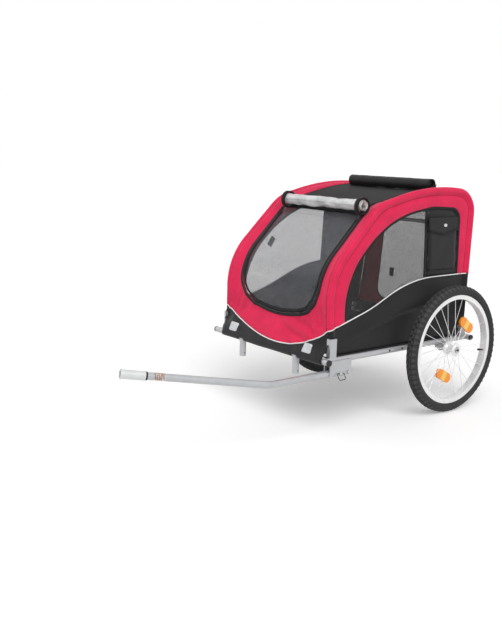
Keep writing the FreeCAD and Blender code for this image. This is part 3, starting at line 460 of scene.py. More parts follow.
def filled(loops, spacing):
    """Points and triangles that fill the first outline, less the other ones."""
    points = [p for loop in loops for p in loop]
    edges = []
    start = 0
    for loop in loops:
        count = len(loop)
        edges += [(start + i, start + (i + 1) % count) for i in range(count)]
        start += count
    tree = kdtree.KDTree(len(points))
    for i, p in enumerate(points):
        tree.insert((p.x, p.y, 0), i)
    tree.balance()
    low = Vector((min(p.x for p in loops[0]), min(p.y for p in loops[0])))
    high = Vector((max(p.x for p in loops[0]), max(p.y for p in loops[0])))
    rows = math.ceil((high.y - low.y) / (spacing * row_share))
    columns = math.ceil((high.x - low.x) / spacing)
    for row in range(rows + 1):
        for column in range(columns + 1):
            spot = low + Vector(((column + row % 2 / 2) * spacing, row * spacing * row_share))
            if tree.find((spot.x, spot.y, 0))[2] > spacing * edge_room_share and in_cloth(spot, loops):
                points.append(spot)
    verts, _, faces, _, _, _ = delaunay_2d_cdt(points, edges, [], 0, same_spot)
    return verts, [face for face in faces
                   if in_cloth(sum((verts[i] for i in face), Vector((0, 0))) / len(face), loops)]


def grid_faces(rows, columns, rows_close=False, columns_close=False, flip=False):
    """Faces of a grid of points that lie row after row. It may close on itself both ways."""
    faces = []
    for i in range(rows if rows_close else rows - 1):
        here = i * columns
        ahead = (i + 1) % rows * columns
        for k in range(columns if columns_close else columns - 1):
            beside = (k + 1) % columns
            face = (here + k, here + beside, ahead + beside, ahead + k)
            faces.append(face[:1] + face[:0:-1] if flip else face)
    return faces


def turned(faces):
    """The same faces, looking the other way."""
    return [tuple(reversed(face)) for face in faces]


def add_mesh(name, verts, faces, material, body="chassis", uvs=None):
    """New smooth piece with its material's slot, which rides on a body where one is given."""
    mesh = bpy.data.meshes.new(name)
    mesh.from_pydata([tuple(v) for v in verts], [], [tuple(f) for f in faces])
    mesh.update()
    mesh.shade_smooth()
    if uvs:
        layer = mesh.uv_layers.new(name="cloth")
        for loop in mesh.loops:
            layer.data[loop.index].uv = uvs[loop.vertex_index]
    mesh.materials.append(material)
    piece = bpy.data.objects.new(name, mesh)
    bpy.context.scene.collection.objects.link(piece)
    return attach(piece, body) if body else piece


def thicken(piece, thickness):
    """Gives a sheet its thickness, inwards from its face."""
    solid = piece.modifiers.new("thickness", "SOLIDIFY")
    solid.thickness = thickness
    solid.offset = -1


def declare_cloth(replaced):
    """Hides the node that a sewn panel stands in for."""
    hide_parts(replaced)


def cloth_piece(name, loops, spacing, place, material, replaced, body="chassis", thickness=cloth,
                mirror=False):
    """Sewn panel: a filled outline put in its place, standing for its node, which it hides, with thickness.
    """
    flat, faces = filled(loops, spacing)
    verts = [place(p.x, p.y) for p in flat]
    if mirror:
        verts, faces = mirrored(verts), turned(faces)
    piece = add_mesh(name, verts, faces, material, body, [(p.x, p.y) for p in flat])
    declare_cloth(replaced)
    thicken(piece, thickness)


def round_section(radius, count=10):
    """Closed circle as side and up pairs."""
    return [(radius * math.cos(angle), radius * math.sin(angle)) for angle in circle(count)]


def flat_section(width, height):
    """Closed tape section with rounded edges, standing on its surface."""
    half = width / 2
    edge = height * tape_edge_share
    top = half * tape_top_share
    return [(half, 0), (half, edge), (top, height), (-top, height), (-half, edge), (-half, 0)]


def swept(name, points, ups, section, material, body="chassis", closed=False):
    """Section carried along points, with its up side along the given directions."""
    count = len(points)
    size = len(section)
    verts = []
    uvs = []
    run = 0.0
    for i, point in enumerate(points):
        before = points[i - 1] if i or closed else points[0]
        after = points[(i + 1) % count] if i + 1 < count or closed else points[-1]
        way = (after - before).normalized()
        side = way.cross(ups[i]).normalized()
        up = side.cross(way)
        run += (point - points[i - 1]).length if i else 0.0
        verts += [point + side * a + up * b for a, b in section]
        uvs += [(run, k * section_step) for k in range(size)]
    faces = grid_faces(count, size, rows_close=closed, columns_close=True)
    if not closed:
        faces += [tuple(reversed(range(size))), tuple((count - 1) * size + k for k in range(size))]
    return add_mesh(name, verts, faces, material, body, uvs)


def stitch_rows(name, points, ups, rows, body="chassis"):
    """Rows of short raised stitches on a tape, each moved sideways from the tape's middle line."""
    path = Line(points)
    count = int(path.length / stitch_pitch)
    half, wide = stitch_length / 2, stitch_width / 2
    verts = []
    faces = []
    for sideways in rows:
        for i in range(count):
            s = path.length * (i + 0.5) / count
            way = path.way(s)
            side = way.cross(ups[path.spot(s)[0]]).normalized()
            up = side.cross(way)
            spot = path.at(s) + side * sideways + up * binding_height
            first = len(verts)
            for share, height in ((1.0, -stitch_height), (stitch_taper_share, stitch_height)):
                for along, across in ((half, wide), (-half, wide), (-half, -wide), (half, -wide)):
                    verts.append(spot + way * (along * share) + side * (across * share) + up * height)
            faces.append(tuple(first + k for k in (3, 2, 1, 0)))
            faces.append(tuple(first + 4 + k for k in range(4)))
            faces += [tuple(first + k for k in face) for face in grid_faces(2, 4, columns_close=True)]
    add_mesh(name, verts, faces, tape_thread, body, [(v.y, v.z) for v in verts])


def stitched_tape(name, stitches, points, ups, width, rows, body="chassis", closed=False):
    """Flat tape along points with rows of stitches on it."""
    tape = swept(name, points, ups, flat_section(width, binding_height), black_tape, body, closed)
    stitch_rows(stitches, points, ups, rows, body)
    return tape


# Materials

def node_material(name):
    """New node material, its tree and its shader."""
    material = bpy.data.materials.new(name)
    material.use_nodes = True
    return material, material.node_tree, material.node_tree.nodes["Principled BSDF"]


def fill(tree, node, inputs):
    """Sets a node's inputs, each to a value or to what a socket gives."""
    for key, value in inputs.items():
        if isinstance(value, bpy.types.NodeSocket):
            tree.links.new(value, node.inputs[key])
        else:
            node.inputs[key].default_value = value


def add_node(tree, kind, inputs, **values):
    """New node with its inputs and some of its properties set."""
    node = tree.nodes.new(kind)
    for key, value in values.items():
        setattr(node, key, value)
    fill(tree, node, inputs)
    return node


def math_node(tree, operation, *inputs):
    """What a sum of numbers or sockets gives."""
    return add_node(tree, "ShaderNodeMath", dict(enumerate(inputs)), operation=operation).outputs[0]


def object_place(tree):
    """Place on the piece."""
    return add_node(tree, "ShaderNodeTexCoord", {}).outputs["Object"]


def flat_place(tree):
    """Place on the flat cloth, as two sockets."""
    flat = add_node(tree, "ShaderNodeUVMap", {}, uv_map="cloth")
    return add_node(tree, "ShaderNodeSeparateXYZ", {0: flat.outputs["UV"]}).outputs[:2]


def speckle(tree, scale, detail=2.0):
    """Fine noise on the piece."""
    inputs = {"Vector": object_place(tree), "Scale": scale, "Detail": detail}
    return add_node(tree, "ShaderNodeTexNoise", inputs).outputs["Fac"]


def two_tones(tree, share, color, dark, bright, places=(0.0, 1.0)):
    """Colour between a darker and a brighter tone of one."""
    ramp = add_node(tree, "ShaderNodeValToRGB", {"Fac": share})
    for element, place, tone in zip(ramp.color_ramp.elements, places, (dark, bright)):
        element.position = place
        element.color = [min(1, c * tone) for c in color] + [1]
    return ramp.outputs["Color"]


def varied_color(tree, color, scale, spread):
    """Colour that wanders a little round one value."""
    return two_tones(tree, speckle(tree, scale, detail=6), color, 1 - spread, 1 + spread, places=(0.3, 0.7))


def bump(tree, height, strength, distance):
    """Normal from a height socket."""
    inputs = {"Height": height, "Strength": strength, "Distance": distance}
    return add_node(tree, "ShaderNodeBump", inputs).outputs["Normal"]


def weave_height(tree, pitch):
    """Plain weave of threads at a pitch, from the cloth's own flat coordinates."""
    threads = [math_node(tree, "SINE", math_node(tree, "MULTIPLY", place, math.pi / pitch))
               for place in flat_place(tree)]
    return math_node(tree, "MULTIPLY", *threads)


def cloth_material(name, color, roughness, pitch, sheen):
    """Coated woven polyester with a fine weave, faint fading and a soft sheen."""
    material, tree, shader = node_material(name)
    weave = weave_height(tree, pitch)
    fill(tree, shader, {"Base Color": varied_color(tree, color, scale=14.0, spread=0.10),
                        "Roughness": roughness, "Specular IOR Level": 0.2,
                        "Sheen Weight": sheen, "Sheen Roughness": 0.45,
                        "Normal": bump(tree, weave, strength=0.35, distance=pitch * 0.25)})
    return material


def mesh_material(name, color, pitch, thread_share):
    """Fly mesh: dark threads with open gaps between them."""
    material, tree, shader = node_material(name)
    threads = []
    for place in flat_place(tree):
        saw = math_node(tree, "FRACT", math_node(tree, "DIVIDE", place, pitch))
        threads.append(math_node(tree, "LESS_THAN", saw, thread_share))
    fill(tree, shader, {"Base Color": varied_color(tree, color, scale=30.0, spread=0.12),
                        "Alpha": math_node(tree, "MAXIMUM", *threads),
                        "Roughness": 0.65, "Specular IOR Level": 0.15})
    return material


def metal_material(name, color, roughness, metallic, grain):
    """Metal with a fine grain in its gloss and a faint change of tone."""
    material, tree, shader = node_material(name)
    height = speckle(tree, grain)
    gloss = add_node(tree, "ShaderNodeMapRange",
                     {"Value": height, "To Min": roughness * 0.8, "To Max": roughness * 1.25})
    fill(tree, shader, {"Base Color": varied_color(tree, color, scale=40.0, spread=0.05),
                        "Metallic": metallic, "Roughness": gloss.outputs["Result"],
                        "Normal": bump(tree, height, strength=0.06, distance=0.0004)})
    return material


def plastic_material(name, color, roughness, grain, strength):
    """Moulded plastic or rubber with a fine grain."""
    material, tree, shader = node_material(name)
    fill(tree, shader, {"Base Color": varied_color(tree, color, scale=25.0, spread=0.12),
                        "Roughness": roughness, "Specular IOR Level": 0.3,
                        "Normal": bump(tree, speckle(tree, grain), strength, distance=0.0005)})
    return material


def prism_material(name, color, pitch, roughness):
    """Reflective plastic with rows of small prisms under a clear face."""
    material, tree, shader = node_material(name)
    cells = add_node(tree, "ShaderNodeTexVoronoi",
                     {"Vector": object_place(tree), "Scale": 1 / pitch, "Randomness": 0.0},
                     distance="CHEBYCHEV").outputs["Distance"]
    fill(tree, shader, {"Base Color": two_tones(tree, cells, color, dark=0.90, bright=1.2),
                        "Roughness": roughness, "Coat Weight": 0.25,
                        "Normal": bump(tree, cells, strength=0.4, distance=pitch * 0.3)})
    return material


def film_material(name, color):
    """Clear film that is rolled up: creased and half see-through, with a pale tone that wanders widely as
    painted highlights and painted shade on its crumpled face.
    """
    material, tree, shader = node_material(name)
    creases = speckle(tree, scale=60.0, detail=5)
    # The wide spread of tone paints the highlights and the shade of the crumpled film.
    fill(tree, shader, {"Base Color": varied_color(tree, color, scale=15.0, spread=0.36),
                        "Roughness": 0.12, "Alpha": 0.74, "Coat Weight": 0.8,
                        "Normal": bump(tree, creases, strength=0.9, distance=0.006)})
    return material


# Colour, roughness, thread pitch and sheen
red_cloth = cloth_material("red polyester", (0.74, 0.018, 0.085), 0.66, 0.0007, 0.12)
black_cloth = cloth_material("black polyester", (0.011, 0.011, 0.0125), 0.46, 0.0007, 0.10)
black_tape = cloth_material("black webbing", (0.012, 0.012, 0.013), 0.70, 0.0012, 0.05)
tape_thread = cloth_material("black thread", (0.050, 0.050, 0.053), 0.60, 0.0006, 0.05)
red_thread = cloth_material("dark red thread", (0.30, 0.008, 0.035), 0.75, 0.0009, 0.05)
white_cord = cloth_material("white piping", (0.84, 0.84, 0.84), 0.60, 0.0009, 0.05)
# Colour, thread pitch and the threads' share of it
front_fly_mesh = mesh_material("fine fly mesh", (0.26, 0.265, 0.285), 0.0016, 0.115)
side_fly_mesh = mesh_material("side fly mesh", (0.075, 0.075, 0.075), 0.0016, 0.150)
rear_fly_mesh = mesh_material("close fly mesh", (0.06, 0.06, 0.06), 0.0016, 0.26)
roof_mesh = mesh_material("dense roof mesh", (0.012, 0.011, 0.012), 0.0014, 0.82)
# Colour, roughness, metallic share and fineness of the grain
silver_paint = metal_material("silver paint", (0.48, 0.485, 0.50), 0.30, 0.42, 900.0)
pale_paint = metal_material("pale coupler paint", (0.69, 0.70, 0.70), 0.34, 0.22, 900.0)
dark_steel = metal_material("dark steel", (0.035, 0.035, 0.038), 0.40, 0.3, 700.0)
spoke_steel = metal_material("drawn spoke steel", (0.86, 0.86, 0.86), 0.28, 0.45, 900.0)
bright_steel = metal_material("bright steel", (0.52, 0.52, 0.53), 0.26, 0.9, 700.0)
rim_alloy = metal_material("brushed rim alloy", (0.86, 0.86, 0.86), 0.34, 0.22, 1200.0)
copper_steel = metal_material("copper-plated spring", (0.58, 0.44, 0.38), 0.32, 0.7, 800.0)
# Colour, roughness, fineness and strength of the grain
zip_nylon = plastic_material("black zip coil", (0.030, 0.030, 0.032), 0.38, 700.0, 0.5)
tyre_rubber = plastic_material("tyre rubber", (0.030, 0.030, 0.031), 0.74, 500.0, 0.25)
# Tread blocks lighter than the carcass: painted light on the block tops and painted shade in the grooves.
painted_lit_block_rubber = plastic_material("tread rubber painted lighter", (0.056, 0.056, 0.057), 0.78, 500.0, 0.25)
black_rubber = plastic_material("black rubber", (0.018, 0.018, 0.019), 0.60, 600.0, 0.15)
black_plastic = plastic_material("black plastic", (0.020, 0.020, 0.022), 0.45, 800.0, 0.12)
pale_badge = plastic_material("pale badge", (0.70, 0.68, 0.68), 0.40, 500.0, 0.05)
# Colour, prism pitch and roughness
orange_lens = prism_material("orange reflector", (1.0, 0.29, 0.002), 0.0035, 0.30)
yellow_lens = prism_material("yellow reflector band", (1.0, 0.58, 0.10), 0.0030, 0.24)
silver_tape = prism_material("silver reflective tape", (0.58, 0.59, 0.61), 0.0075, 0.30)
clear_film = film_material("clear film", (0.86, 0.87, 0.89))


# Red side panels

rear_seam_y = 0.140
seam_lap = 0.001
window_lap = 0.004
tube_first_angle = 308
tube_angle_step = 18
tube_sides = 21
joint_index = 6
sleeve_wrinkle_share = 0.025
sleeve_wrinkle_close = 40
corner_rise = 0.0155
corner_drop = 0.003
corner_fade = 0.05
seam_gap = 0.0045
seam_out = 0.0012
seam_radius = 0.0009
seam_sides = 6
band_steps = 9
band_out = 0.0015
band_puff = 0.0042
puff_power = 0.8

tube_angles = [math.radians(tube_first_angle - tube_angle_step * i) for i in range(tube_sides)]
rear_seam_height = piping_height(rear_seam_y)
front_leg_s = sleeve_line.reach(1, piping_start_height + seam_lap)
rear_leg_s = sleeve_line.reach(1, rear_seam_height, last=True)
window_first = window_line.reach(1, piping_height(window_corners[0].x + window_lap))
window_last = window_line.reach(1, piping_height(window_corners[-1].x), last=True)


def matched(s):
    """Length along the window's edge that belongs to a length along the sleeve."""
    outer = grown(outline, -sleeve_radius)[1:5]
    here = [front_leg_s] + [sleeve_line.nearest(p) for p in outer] + [rear_leg_s]
    there = [window_first] + [window_line.nearest(p) for p in window_corners[1:5]] + [window_last]
    for a, b, c, d in zip(here, here[1:], there, there[1:]):
        if s <= b + same_spot:
            return c + (d - c) * (s - a) / (b - a)
    return there[-1]


def red_section(s):
    """Points across the red panel: round the hoop's sleeve, over the seam and on to the window."""
    centre = sleeve_line.at(s)
    out = sleeve_line.out(s)
    window = window_line.at(matched(s))
    found = []
    fade = smooth(1 - (s - front_leg_s) / corner_fade)
    last = len(tube_angles) - 1
    for i, angle in enumerate(tube_angles):
        wrinkle = ripple(s * sleeve_wrinkle_close, math.sin(angle), math.cos(angle))
        radius = sleeve_radius * (1 + sleeve_wrinkle_share * wrinkle)
        share = max(0, i - joint_index) / (last - joint_index)
        rise = Vector((0, (corner_rise * share - corner_drop) * fade))
        found.append((centre + out * (radius * math.sin(angle)) + rise, radius * math.cos(angle)))
    seam = centre - out * (sleeve_radius + seam_gap) + Vector((0, (corner_rise - corner_drop) * fade))
    found.append((seam, seam_out))
    for k in range(1, band_steps + 1):
        share = k / band_steps
        bow = math.sin(math.pi * share)
        found.append((seam.lerp(window, share),
                      band_out + band_puff * bow ** puff_power + wave("red band", s, share) * bow))
    return [at_side(point, away) for point, away in found]


def make_red_sides():
    """Red panel with its hoop sleeve and the thread along its seam, on each side."""
    count = math.ceil((rear_leg_s - front_leg_s) / fine_step)
    sections = [red_section(s) for s in evenly(front_leg_s, rear_leg_s, count)]
    uvs = []
    for along, section in zip(evenly(0, rear_leg_s - front_leg_s, count), sections):
        run = 0.0
        for k, point in enumerate(section):
            run += (point - section[k - 1]).length if k else 0.0
            uvs.append((along, run))
    faces = grid_faces(count + 1, len(sections[0]))
    verts = [point for section in sections for point in section]
    crease = [section[len(tube_angles)] for section in sections]
    for name, points, order, line in (("left", verts, faces, crease),
                                      ("right", mirrored(verts), turned(faces), mirrored(crease))):
        piece = add_mesh(name + "_red_side", points, order, red_cloth, uvs=uvs)
        declare_cloth("side_red_panels")
        thicken(piece, cloth)
        swept(name + "_sleeve_seam", line, [Vector((1, 0, 0))] * len(line),
              round_section(seam_radius, seam_sides), red_thread)
    return sections[0]


corner_section = make_red_sides()


# Black lower side panels

bracket_room = 0.017
front_bracket_top = 0.3492
rear_bracket_top = 0.3222
low_leg = 0.29
leg_cover = 0.0123
leg_edge_share = 0.97
lower_out = 0.0016
lower_hem_rise = 0.0005
fold_ends = (-0.62, 0.16)
fold_drop = 0.062
fold_fall = 0.05
fold_fall_ramp = (-0.5, 0.5)
ridge_height = 0.0160
ridge_widths = (0.045, 0.010)
ridge_start_ramp = (-0.56, 0.2)
ridge_end_ramp = (0.1, -0.15)
cuff_radius = 0.0119
cuff_lap = 0.005
cuff_sides = 20


def lower_side_out(y, z):
    """How far the lower side panel stands out: over the hoop's legs, along a long fold, and in soft waves."""
    out = lower_out + wave("lower side", y, z)
    for last in (False, True):
        gap = abs(y - leg_y(max(z, low_leg), last))
        if gap < leg_cover:
            out = max(out, math.sqrt(leg_cover ** 2 - gap ** 2))
    fold = (piping_height(min(max(y, fold_ends[0]), fold_ends[1])) - fold_drop
            - fold_fall * ramp(y, *fold_fall_ramp))
    ridge = bell(max(z - fold, 0), ridge_widths[0]) * bell(min(z - fold, 0), ridge_widths[1])
    return out + ridge_height * ridge * ramp(y, *ridge_start_ramp) * ramp(y, *ridge_end_ramp)


def make_lower_sides():
    """Black panel under the seam on each side, notched round the brackets."""
    low = cabin_bottom + lower_hem_rise
    edge = leg_cover * leg_edge_share
    front_in = leg_y(low_leg, False) + bracket_room
    rear_in = leg_y(low_leg, True) - bracket_room
    front_out = leg_y(front_bracket_top, False) - edge
    rear_out = leg_y(rear_bracket_top, True) + edge
    top_front = leg_y(piping_start_height, False) - edge
    top_rear = leg_y(rear_seam_height, True) + edge
    seam = piping_line.between(piping_line.reach(0, top_front), piping_line.reach(0, top_rear), panel_step)
    rest = vectors((rear_out, rear_bracket_top), (rear_in, rear_bracket_top), (rear_in, low),
                   (front_in, low), (front_in, front_bracket_top), (front_out, front_bracket_top))
    loop = seam[:-1] + run_of([seam[-1]] + rest + [seam[0]], panel_step)[:-1]
    for name in ("left", "right"):
        cloth_piece(name + "_lower_side", [loop], panel_spacing,
                    lambda y, z: at_side(Vector((y, z)), lower_side_out(y, z)), black_cloth,
                    "side_lower_panels", mirror=name == "right")


def make_cuffs():
    """Black cloth round each hoop leg, from its bracket up to the seam."""
    angles = circle(cuff_sides) + [2 * math.pi]
    spans = (("front", front_bracket_top, piping_start_height + cuff_lap, False),
             ("rear", rear_bracket_top, rear_seam_height, True))
    for place, low, high, last in spans:
        start = sleeve_line.reach(1, low, last=last)
        end = sleeve_line.reach(1, high, last=last)
        rows = math.ceil(abs(end - start) / fine_step)
        verts = []
        uvs = []
        for s in evenly(start, end, rows):
            for angle in angles:
                spot = sleeve_line.at(s) + sleeve_line.out(s) * (cuff_radius * math.sin(angle))
                verts.append(at_side(spot, cuff_radius * math.cos(angle)))
                uvs.append((s, cuff_radius * angle))
        faces = grid_faces(rows + 1, len(angles), flip=True)
        for side, points in (("left", verts), ("right", mirrored(verts))):
            order = turned(faces) if last == (side == "left") else faces
            cuff = add_mesh("%s_%s_cuff" % (side, place), points, order, black_cloth, uvs=uvs)
            declare_cloth("side_lower_panels")


make_lower_sides()
make_cuffs()


# Side windows

window_sink = 0.0006
side_tape_out = 0.0004
strip_out = 0.0002


def window_place(y, z):
    """Point of the side window's cloth, which hangs a little slack."""
    return at_side(Vector((y, z)), -window_sink + wave("side window", y, z))


def make_side_windows():
    """Fly mesh in front of the strip and black cloth behind it, with tape round the window, on each side."""
    split = window_line.reach(0, strip_y)
    front_top = window_line.between(window_first, split, edge_step)
    rear_top = window_line.between(split, window_last, edge_step)
    seam_split = piping_line.reach(0, strip_y)
    seam_front = piping_line.between(seam_split, piping_line.reach(0, front_top[0].x), edge_step)
    seam_rear = piping_line.between(piping_line.reach(0, rear_top[-1].x), seam_split, edge_step)
    down = [front_top[-1], seam_front[0]]
    middle = run_of(down, edge_step)
    front_loop = front_top[:-1] + middle[:-1] + seam_front[:-1]
    rear_loop = rear_top[:-1] + seam_rear[:-1] + middle[:0:-1]
    edge_line = window_line.between(window_first, window_last, window_edge_step)
    edge = [at_side(p, side_tape_out) for p in edge_line]
    strip = [at_side(p, strip_out) for p in run_of(down, mesh_spacing)]
    for name, mirror in (("left", False), ("right", True)):
        for title, loop, material, thickness in (("_window_mesh", front_loop, side_fly_mesh, mesh_cloth),
                                                 ("_window_rear", rear_loop, black_cloth, cloth)):
            cloth_piece(name + title, [loop], mesh_spacing, window_place, material,
                        "side_meshes", thickness=thickness, mirror=mirror)
        for title, line, width in (("_window_tape", edge, binding_width),
                                   ("_window_strip", strip, strip_width)):
            points = mirrored(line) if mirror else line
            ups = (mirrored([side_outward]) if mirror else [side_outward]) * len(points)
            tape = stitched_tape(name + title, name + title + "_stitches", points, ups, width, stitch_rows_at)
            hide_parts("side_window_bindings")


make_side_windows()


# Front cloth

front_steps = 48
hem_start = 0.004

# Folds drawn from the lower middle: start, height, slope and depth
drawn_folds = ((0.020, 0.366, 0.20, 0.0085), (0.120, 0.400, 0.40, 0.0060))
drawn_start_fade = 0.07
drawn_end_ramp = (0.275, -0.05)
drawn_seam_ramp = (0.004, 0.022)
drawn_crest = (0.011, 0.010)
drawn_trough = (0.009, 0.009)
fold_side = 0.280

# Folds at the corners: lean, place, width and height
corner_folds = ((0.35, 0.030, 0.008, 0.0060), (0.75, 0.055, 0.010, 0.0064), (1.6, 0.100, 0.014, 0.0060))
corner_fold_base = 0.36
corner_fold_middle = 0.03
corner_fold_reach = 0.13
corner_lean_share = 0.6
corner_depth_shares = ((1, 1.0), (-1, 0.6))

# Slanting waves above the hem
hem_wave_slant = 15 / 11
hem_wave_top_ramp = (0.345, -0.03)
hem_wave_bottom_ramp = (0.275, 0.02)

# Ends of the front cloth at the hoops' legs
turn_width = 0.055
bulge_share = 0.75
turn_ramp = (0.292, 0.055)
turn_top_fade = 0.02
bracket_inside = 0.2895
bracket_top_room = 0.004
bracket_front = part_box("corner_brackets")[0].y
leg_wrap = 0.0145
leg_wrap_ramp = (0.300, 0.03)
hem_wrap = 0.016
hem_wrap_ramp = (0.335, -0.03)
hem_tuck = 0.009
hem_tuck_ramp = (0.300, -0.02)
bracket_wrap = 0.006
bracket_wrap_fade = 0.008
post_top_share = 0.47


def front_arc(x):
    """Height of the front seam's sag at one X, a little lower on the left."""
    half = side_x(piping_start_height)
    drop = piping_start_height - front_piping_middle
    radius = (half ** 2 + drop ** 2) / (2 * drop)
    share = x / half
    skew = front_piping_skew * share * (1 - share ** 2)
    return front_piping_middle + radius - math.sqrt(radius ** 2 - x ** 2) - skew


def front_seam(half, count):
    """X and length of points along the front seam, from left to right."""
    xs = [half * (1 - 2 * i / count) for i in range(count + 1)]
    return [Vector((x, front_s(front_arc(x)))) for x in xs]


def front_folds(x, s):
    """Shallow folds of the front cloth: drawn from the lower corners, and soft waves all over."""
    z = band_line.at(s).y
    height = wave("front", x, s)
    near_hem = ramp(z, *hem_wave_top_ramp) * ramp(z, *hem_wave_bottom_ramp)
    height += wave("front hem", x + z * hem_wave_slant, z) * near_hem
    for start, base, slope, depth in drawn_folds:
        gap = z - base + slope * (x - start)
        reach = ramp(x, start, drawn_start_fade) * ramp(x, *drawn_end_ramp)
        reach *= ramp(z - front_arc(min(x, fold_side)), *drawn_seam_ramp)
        height += depth * reach * (bell(gap - drawn_crest[0], drawn_crest[1])
                                   - bell(gap + drawn_trough[0], drawn_trough[1]))
    for sign, share in corner_depth_shares:
        across = band_half(s) - sign * x
        rise = z - corner_fold_base
        for lean, place, width, depth in corner_folds:
            gap = across - place - lean * rise * corner_lean_share
            near = smooth(1 - abs(rise - corner_fold_middle) / corner_fold_reach)
            height += share * depth * bell(gap, width) * near
    return height


def front_place(x, s, out=0.0):
    """Point of the front cloth. Below the slope's top its ends turn back round the corners to the legs."""
    point = on_band(x, s, out + front_folds(x, s))
    if point.z < flare_top:
        turn = ramp(abs(x) - band_half(s), -turn_width, turn_width) * ramp(point.z, *turn_ramp)
        across = min(sleeve_radius, max(0.0, side_x(point.z) - abs(x)))
        bulge = max(bulge_share * sleeve_radius, math.sqrt(sleeve_radius ** 2 - across ** 2))
        leg = leg_y(max(point.z, low_leg), False) + axle_y - bulge
        point.y += (leg - out - point.y) * turn * ramp(point.z, flare_top, -turn_top_fade)
        if point.z < front_bracket_top + bracket_top_room and abs(x) > bracket_inside:
            point.y = min(point.y, bracket_front - out - cloth)
    return point


def front_window(inset, top=front_window_top):
    """Front window's outline, unrolled and set inwards, from its upper left round to the upper right."""
    half = front_window_half - inset
    shoulder = front_window_shoulder + inset
    corners = vectors((half, top), (half, shoulder), (0, front_window_bottom + inset), (-half, shoulder),
                      (-half, top))
    shape = rounded(corners, [front_window_corner, front_window_sag, front_window_corner])
    return [Vector((p.x, front_s(p.y))) for p in shape]


def right_reach(height):
    """How far the lower front cloth passes the right sleeve. It is tucked in at the hem."""
    return leg_wrap * ramp(height, *leg_wrap_ramp) - hem_tuck * ramp(height, *hem_tuck_ramp)


def left_reach(height):
    """The same on the left, where it stops at the bracket and its slack hem reaches along the cross tube."""
    over = bracket_wrap + (leg_wrap - bracket_wrap) * ramp(height, front_bracket_top, bracket_wrap_fade)
    return max(over, hem_wrap * ramp(height, *hem_wrap_ramp))


def post_notches(low):
    """Bottom edge of the front hem from right to left, notched round the two posts."""
    post_low, post_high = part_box("front_posts")
    post_radius = (post_high.y - post_low.y) / 2
    radius = post_radius + cloth
    side = post_high.x - post_radius
    top = front_s((post_high.z + post_low.z) / 2 + (post_high.z - post_low.z) * post_top_share)
    edge = vectors((hem_tuck - band_half(low), low))
    for x in (-side, side):
        edge += vectors((x - radius, low), (x - radius, top), (x + radius, top), (x + radius, low))
    return edge + vectors((band_half(low) + hem_wrap, low))


def make_front():
    """Red front panel round the window, and the black lower panel that wraps the cross tube."""
    seam = front_seam(band_half(front_s(piping_start_height)), front_steps)
    left = band_edge(seam[0].y, wing_end, 1)
    right = band_edge(wing_end, seam[-1].y, -1)
    window = run_of([left[-1]] + front_window(0, front_wing_top) + [right[0]], window_edge_step)
    outer = seam[:0:-1] + left[:-1] + window[:-1] + right[:-1]
    cloth_piece("front_red", [outer], panel_spacing, front_place, red_cloth,
                "front_red_panel")
    bottom = run_of(post_notches(hem_start), window_edge_step)
    rise = band_edge(hem_start, seam[0].y, 1, arc_step, left_reach)
    fall = band_edge(seam[-1].y, hem_start, -1, arc_step, right_reach)
    cloth_piece("front_lower", [bottom[:-1] + rise + seam[1:-1] + fall[:-1]], panel_step, front_place,
                black_cloth, "front_lower_panel")


door_inset = 0.002
door_spacing = 0.016
door_sink = 0.0012
hem_inset = 0.008
hem_drop = 0.003
hem_out = 0.0002
front_tape_inset = -0.0058
front_tape_out = 0.0006
zip_inset = -0.002
zip_drop = 0.012
zip_sides = 8
head_inset = 0.0005


def door_place(x, s):
    """Point of the door's mesh, which hangs a little slack."""
    return front_place(x, s, -door_sink + wave("front door", x, s))


def make_front_door():
    """Mesh door with its hem, and the zip tape down, under and up the window that it closes."""
    door = closed_run(front_window(door_inset), wide_step)
    cloth_piece("front_door_mesh", [door], door_spacing, door_place, front_fly_mesh,
                "front_mesh_door", "front_door", mesh_cloth)
    for name, inset, top, width, out, body in (
            ("front_door_hem", hem_inset, front_window_top - hem_drop, door_hem_width, hem_out, "front_door"),
            ("front_window_tape", front_tape_inset, front_panel_top, front_tape_width, front_tape_out,
             "chassis")):
        line = run_of(front_window(inset, top), panel_step)
        points = [front_place(p.x, p.y, out) for p in line]
        stitched_tape(name, name + "_stitches", points, band_ups(line), width, stitch_rows_at[:1], body)
    line = run_of(front_window(zip_inset, front_window_top - zip_drop), arc_step)
    points = [front_place(p.x, p.y, binding_height) for p in line]
    swept("front_zip_coil", points, band_ups(line), round_section(zip_radius, zip_sides), zip_nylon)


def make_head_mesh():
    """Strip of the same mesh between the door's hinge and the roof, under the rolled cover."""
    half = front_window_half - head_inset
    low = front_s(front_window_top)
    corners = vectors((half, low), (half, front_end), (-half, front_end), (-half, low))
    cloth_piece("front_head_mesh", [closed_run(corners, edge_step)], wide_step, door_place, front_fly_mesh,
                "front_red_panel", thickness=mesh_cloth)


make_front()
make_front_door()
make_head_mesh()


# Roof and rear cloth

roof_bar_reach = 0.060
roof_bar_lift = 0.0014
roof_sag = 0.003
rear_spacing = 0.013
rear_tape_out = 0.0006


def roof_place(x, s):
    """Point of the roof cloth, which lies on the bars at its ends and sags a little between them."""
    reach = roof_bar_reach
    slack = ramp(s - front_end, reach, reach) * ramp(s, rear_start - reach, -reach)
    sag = roof_sag * (1 - (x / band_half(s)) ** 2) - wave("roof", x, s)
    return on_band(x, s, roof_bar_lift - (roof_bar_lift + sag) * slack)


def roof_edge(sign):
    """Seam between the black roof and the red strip beside it, which narrows towards the rear."""
    wide = band_half(wing_end) - front_window_half
    outer = band_edge(wing_end, rear_start, sign)
    return [Vector((p.x - sign * (wide + (roof_border_end - wide) * i / (len(outer) - 1)), p.y))
            for i, p in enumerate(outer)]


